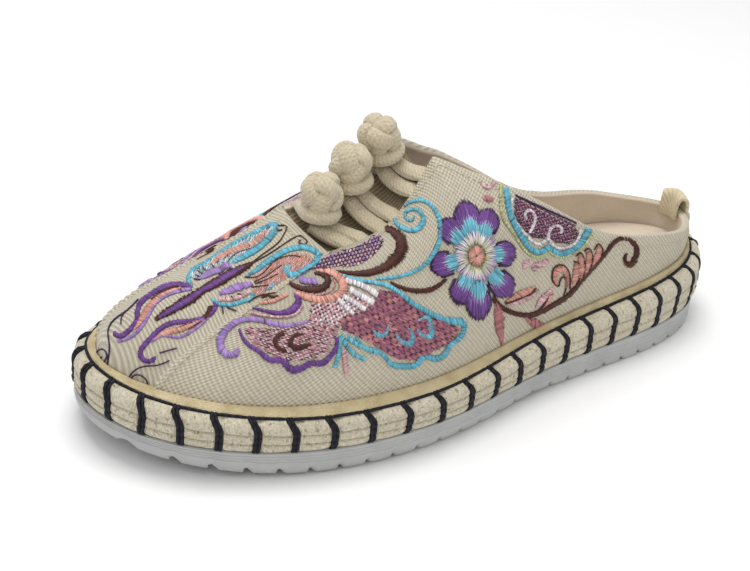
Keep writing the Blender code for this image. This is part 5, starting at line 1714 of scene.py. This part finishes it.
def fan(dye, inner, outer, count):
    """Stitches that stand like rays between two ellipses about the blossom's middle."""
    angle = np.radians(np.linspace(0, 360, count, endpoint=False) + dice.normal(0, 1.0, count))
    ray = np.stack([np.cos(angle), np.sin(angle)], axis=1)
    ends = 1 + dice.normal(0, 0.06, (2, count, 1))
    lay("quarter", BLOSSOM + ray * inner * ends[0], BLOSSOM + ray * outer * ends[1], dye)


def petal(tip, dye, low, high, wide, count):
    """Stitches along a petal, from one share of its length to another, rounded at the tip.

    wide is a share of the petals' half width.
    """
    axis = np.array(tip) - BLOSSOM
    side = unit(np.array([-axis[1], axis[0]])) * wide * PETAL_HALF_WIDTH
    u = np.linspace(-1, 1, count)[:, None]
    reach = high - (high - low) * 0.40 * u ** 2 + dice.normal(0, 0.02, (count, 1))
    foot = low + dice.normal(0, 0.02, (count, 1)) + 0.05 * u ** 2
    lay("quarter", BLOSSOM + axis * foot + side * u * (0.45 + 0.50 * low),
        BLOSSOM + axis * reach + side * u * (1.12 - 0.35 * high), dye)


layer = 0
for row in QUARTER_FILLS:
    fill("quarter", *row)
layer = 1
for row in QUARTER_GRAINS:
    fill("quarter", *row)
for tip in PETAL_TIPS:
    petal(tip, "plum", 0.48, 1.03, 1.08, 34)
layer = 2
for row in QUARTER_STROKES:
    satin("quarter", *row)
for tip in PETAL_TIPS:
    petal(tip, "purple", 0.55, 1.00, 0.92, 30)
    petal(tip, "lilac", 0.50, 0.88, 0.80, 12)
layer = 3
for dye, width, points in QUARTER_LINES:
    satin("quarter", dye, width, points, slant=45 if width < 3 else 12)
for tip in PETAL_TIPS:
    petal(tip, "turquoise", 0.36, 0.72, 0.60, 22)
    petal(tip, "sky", 0.40, 0.80, 0.55, 6)
fan("pale", (9, 12), (22, 27), 110)
fan("lilac", (15, 18), (24, 29), 34)
layer = 4
fan("lime", (8, 11), (15, 20), 44)
fan("salmon", (0.5, 0.5), (8.5, 10.5), 40)
fan("rose", (2, 2), (6.5, 8), 14)

cloth_patch = surface(CLOTH, wrap_rows=True)
cloth_tree = BVHTree.FromPolygons(cloth_patch[0].tolist(), cloth_patch[1].tolist())


def trace(pixels):
    """Places and shares on the cloth that the photo's pixels show, and which pixels meet it.

    A ray from the eye meets a cell of the cloth's grid, and the cell's own two sides give the
    place in it.
    """
    ray = (eye_right * ((pixels[:, :1] - PHOTO_WIDTH / 2) / FOCAL_PIXELS)
           - eye_up * ((pixels[:, 1:] - PHOTO_HEIGHT / 2) / FOCAL_PIXELS) - back)
    start = Vector(eye)
    hits = [cloth_tree.ray_cast(start, Vector(r)) for r in ray.tolist()]
    met = np.array([h[0] is not None for h in hits])
    place = np.array([tuple(h[0]) if h[0] is not None else (0, 0, 0) for h in hits])
    cell = np.array([h[2] if h[2] is not None else 0 for h in hits])
    i, j = cell // (len(CLOTH_UP) - 1), cell % (len(CLOTH_UP) - 1)
    n = (i + 1) % len(CLOTH_AT)
    first, second = CLOTH[n, j] - CLOTH[i, j], CLOTH[i, j + 1] - CLOTH[i, j]
    off = place - CLOTH[i, j]
    aa, ab, bb = ((p * q).sum(axis=1) for p, q in ((first, first), (first, second), (second, second)))
    pa, pb = (off * first).sum(axis=1), (off * second).sum(axis=1)
    a = (pa * bb - pb * ab) / (aa * bb - ab * ab)
    b = (pb * aa - pa * ab) / (aa * bb - ab * ab)
    wide = np.concatenate([CLOTH_AT, CLOTH_AT[:1] + ROUND])
    return wide[i] + a * (wide[i + 1] - wide[i]), (j + b) / (len(CLOTH_UP) - 1), met


def silk_finish():
    """Glossy embroidery thread in the colour of its dye, with a painted shade towards each stitch's
    ends.
    """
    made, tree, shader = new_finish("embroidery_thread", 0.40, Specular_IOR_Level=0.45)
    dye = add_node(tree, "ShaderNodeAttribute", attribute_name="thread")
    tree.links.new(dye.outputs["Color"], shader.inputs["Base Color"])
    emboss(tree, shader, noise(tree, coordinates(tree), 0.0003, 2.0), 0.00004)
    return made


silk = silk_finish()


def add_embroidery(name, at, share, colour, level):
    """Threads from end to end over the cloth: three-sided, crowned in the middle, dipping in at
    the ends.

    at and share hold the two ends' places. The crown grows with the stitch's length.
    """
    part = np.array([0.0, 0.14, 0.5, 0.86, 1.0])
    way = [ends[:, :1] + (ends[:, 1:] - ends[:, :1]) * part for ends in (at, share)]
    ends = on_cloth(at, share)[0]
    length = np.linalg.norm(ends[:, 1] - ends[:, 0], axis=1)
    good = (length > SHORTEST_STITCH) & (length < LONGEST_STITCH)
    crown = np.minimum(0.07 * length, CROWN)[:, None] * np.array([0, 0.6, 1, 0.6, 0])
    seat = np.array([-0.00012, 0.00007, 0.0001, 0.00007, -0.00012])
    path, normal = on_cloth(*way, crown + LAYER_LIFT * level[:, None] + seat)
    path, normal, colour = path[good], normal[good], colour[good]
    ahead = unit(path[:, 4] - path[:, 0])
    side = np.cross(ahead, normal[:, 2])[:, None, None] * THREAD_HALF_WIDTH
    rise = normal[:, 2][:, None, None] * THREAD_HALF_HEIGHT
    corner = np.array([(-1, -0.6), (1, -0.6), (0, 1)])[None, None, :, :, None]
    rings = path[:, 1:4, None] + side * corner[..., 0, :] + rise * corner[..., 1, :]
    points = np.concatenate([rings.reshape(len(path), 9, 3), path[:, :1], path[:, 4:]], axis=1)
    quads = [(r * 3 + k, r * 3 + (k + 1) % 3, r * 3 + 3 + (k + 1) % 3, r * 3 + 3 + k)
             for r in range(2) for k in range(3)]
    first_tips = [(9, (k + 1) % 3, k, -1) for k in range(3)]
    last_tips = [(10, 6 + k, 6 + (k + 1) % 3, -1) for k in range(3)]
    faces = np.array(quads + first_tips + last_tips)
    faces = np.where(faces < 0, -1, faces + 11 * np.arange(len(path))[:, None, None]).reshape(-1, 4)
    # Painted shade: each stitch darker towards its ends, most at the tips that dip into the cloth.
    shade = np.array([0.9] * 3 + [1.0] * 3 + [0.9] * 3 + [0.6, 0.6])
    dyed_and_shaded = np.ones((len(path), 11, 4))
    dyed_and_shaded[..., :3] = colour[:, None] * shade[None, :, None]
    patch = (points.reshape(-1, 3), faces, np.zeros((len(faces), 4, 2)))
    return add_piece(name, [patch], silk, colours=dyed_and_shaded.reshape(-1, 4))


for group, laid in stitches.items():
    start, end, colour, level = (np.concatenate([row[k] for row in laid]) for k in range(4))
    start_at, start_share, start_met = trace(start)
    end_at, end_share, end_met = trace(end)
    met = start_met & end_met & (np.abs(start_at - end_at) < 0.02)
    at = np.stack([start_at, end_at], axis=1)[met]
    share = np.clip(np.stack([start_share, end_share], axis=1)[met], 0.02, 0.985)
    colour, level = colour[met], level[met]
    if group == "apron":
        add_embroidery("embroidery_apron", at, share, colour, level)
        continue
    add_embroidery("embroidery_outer", at, share, colour, level)
    add_embroidery("embroidery_inner", np.interp(at, KNOTS, KNOTS[::-1]), share, colour, level)
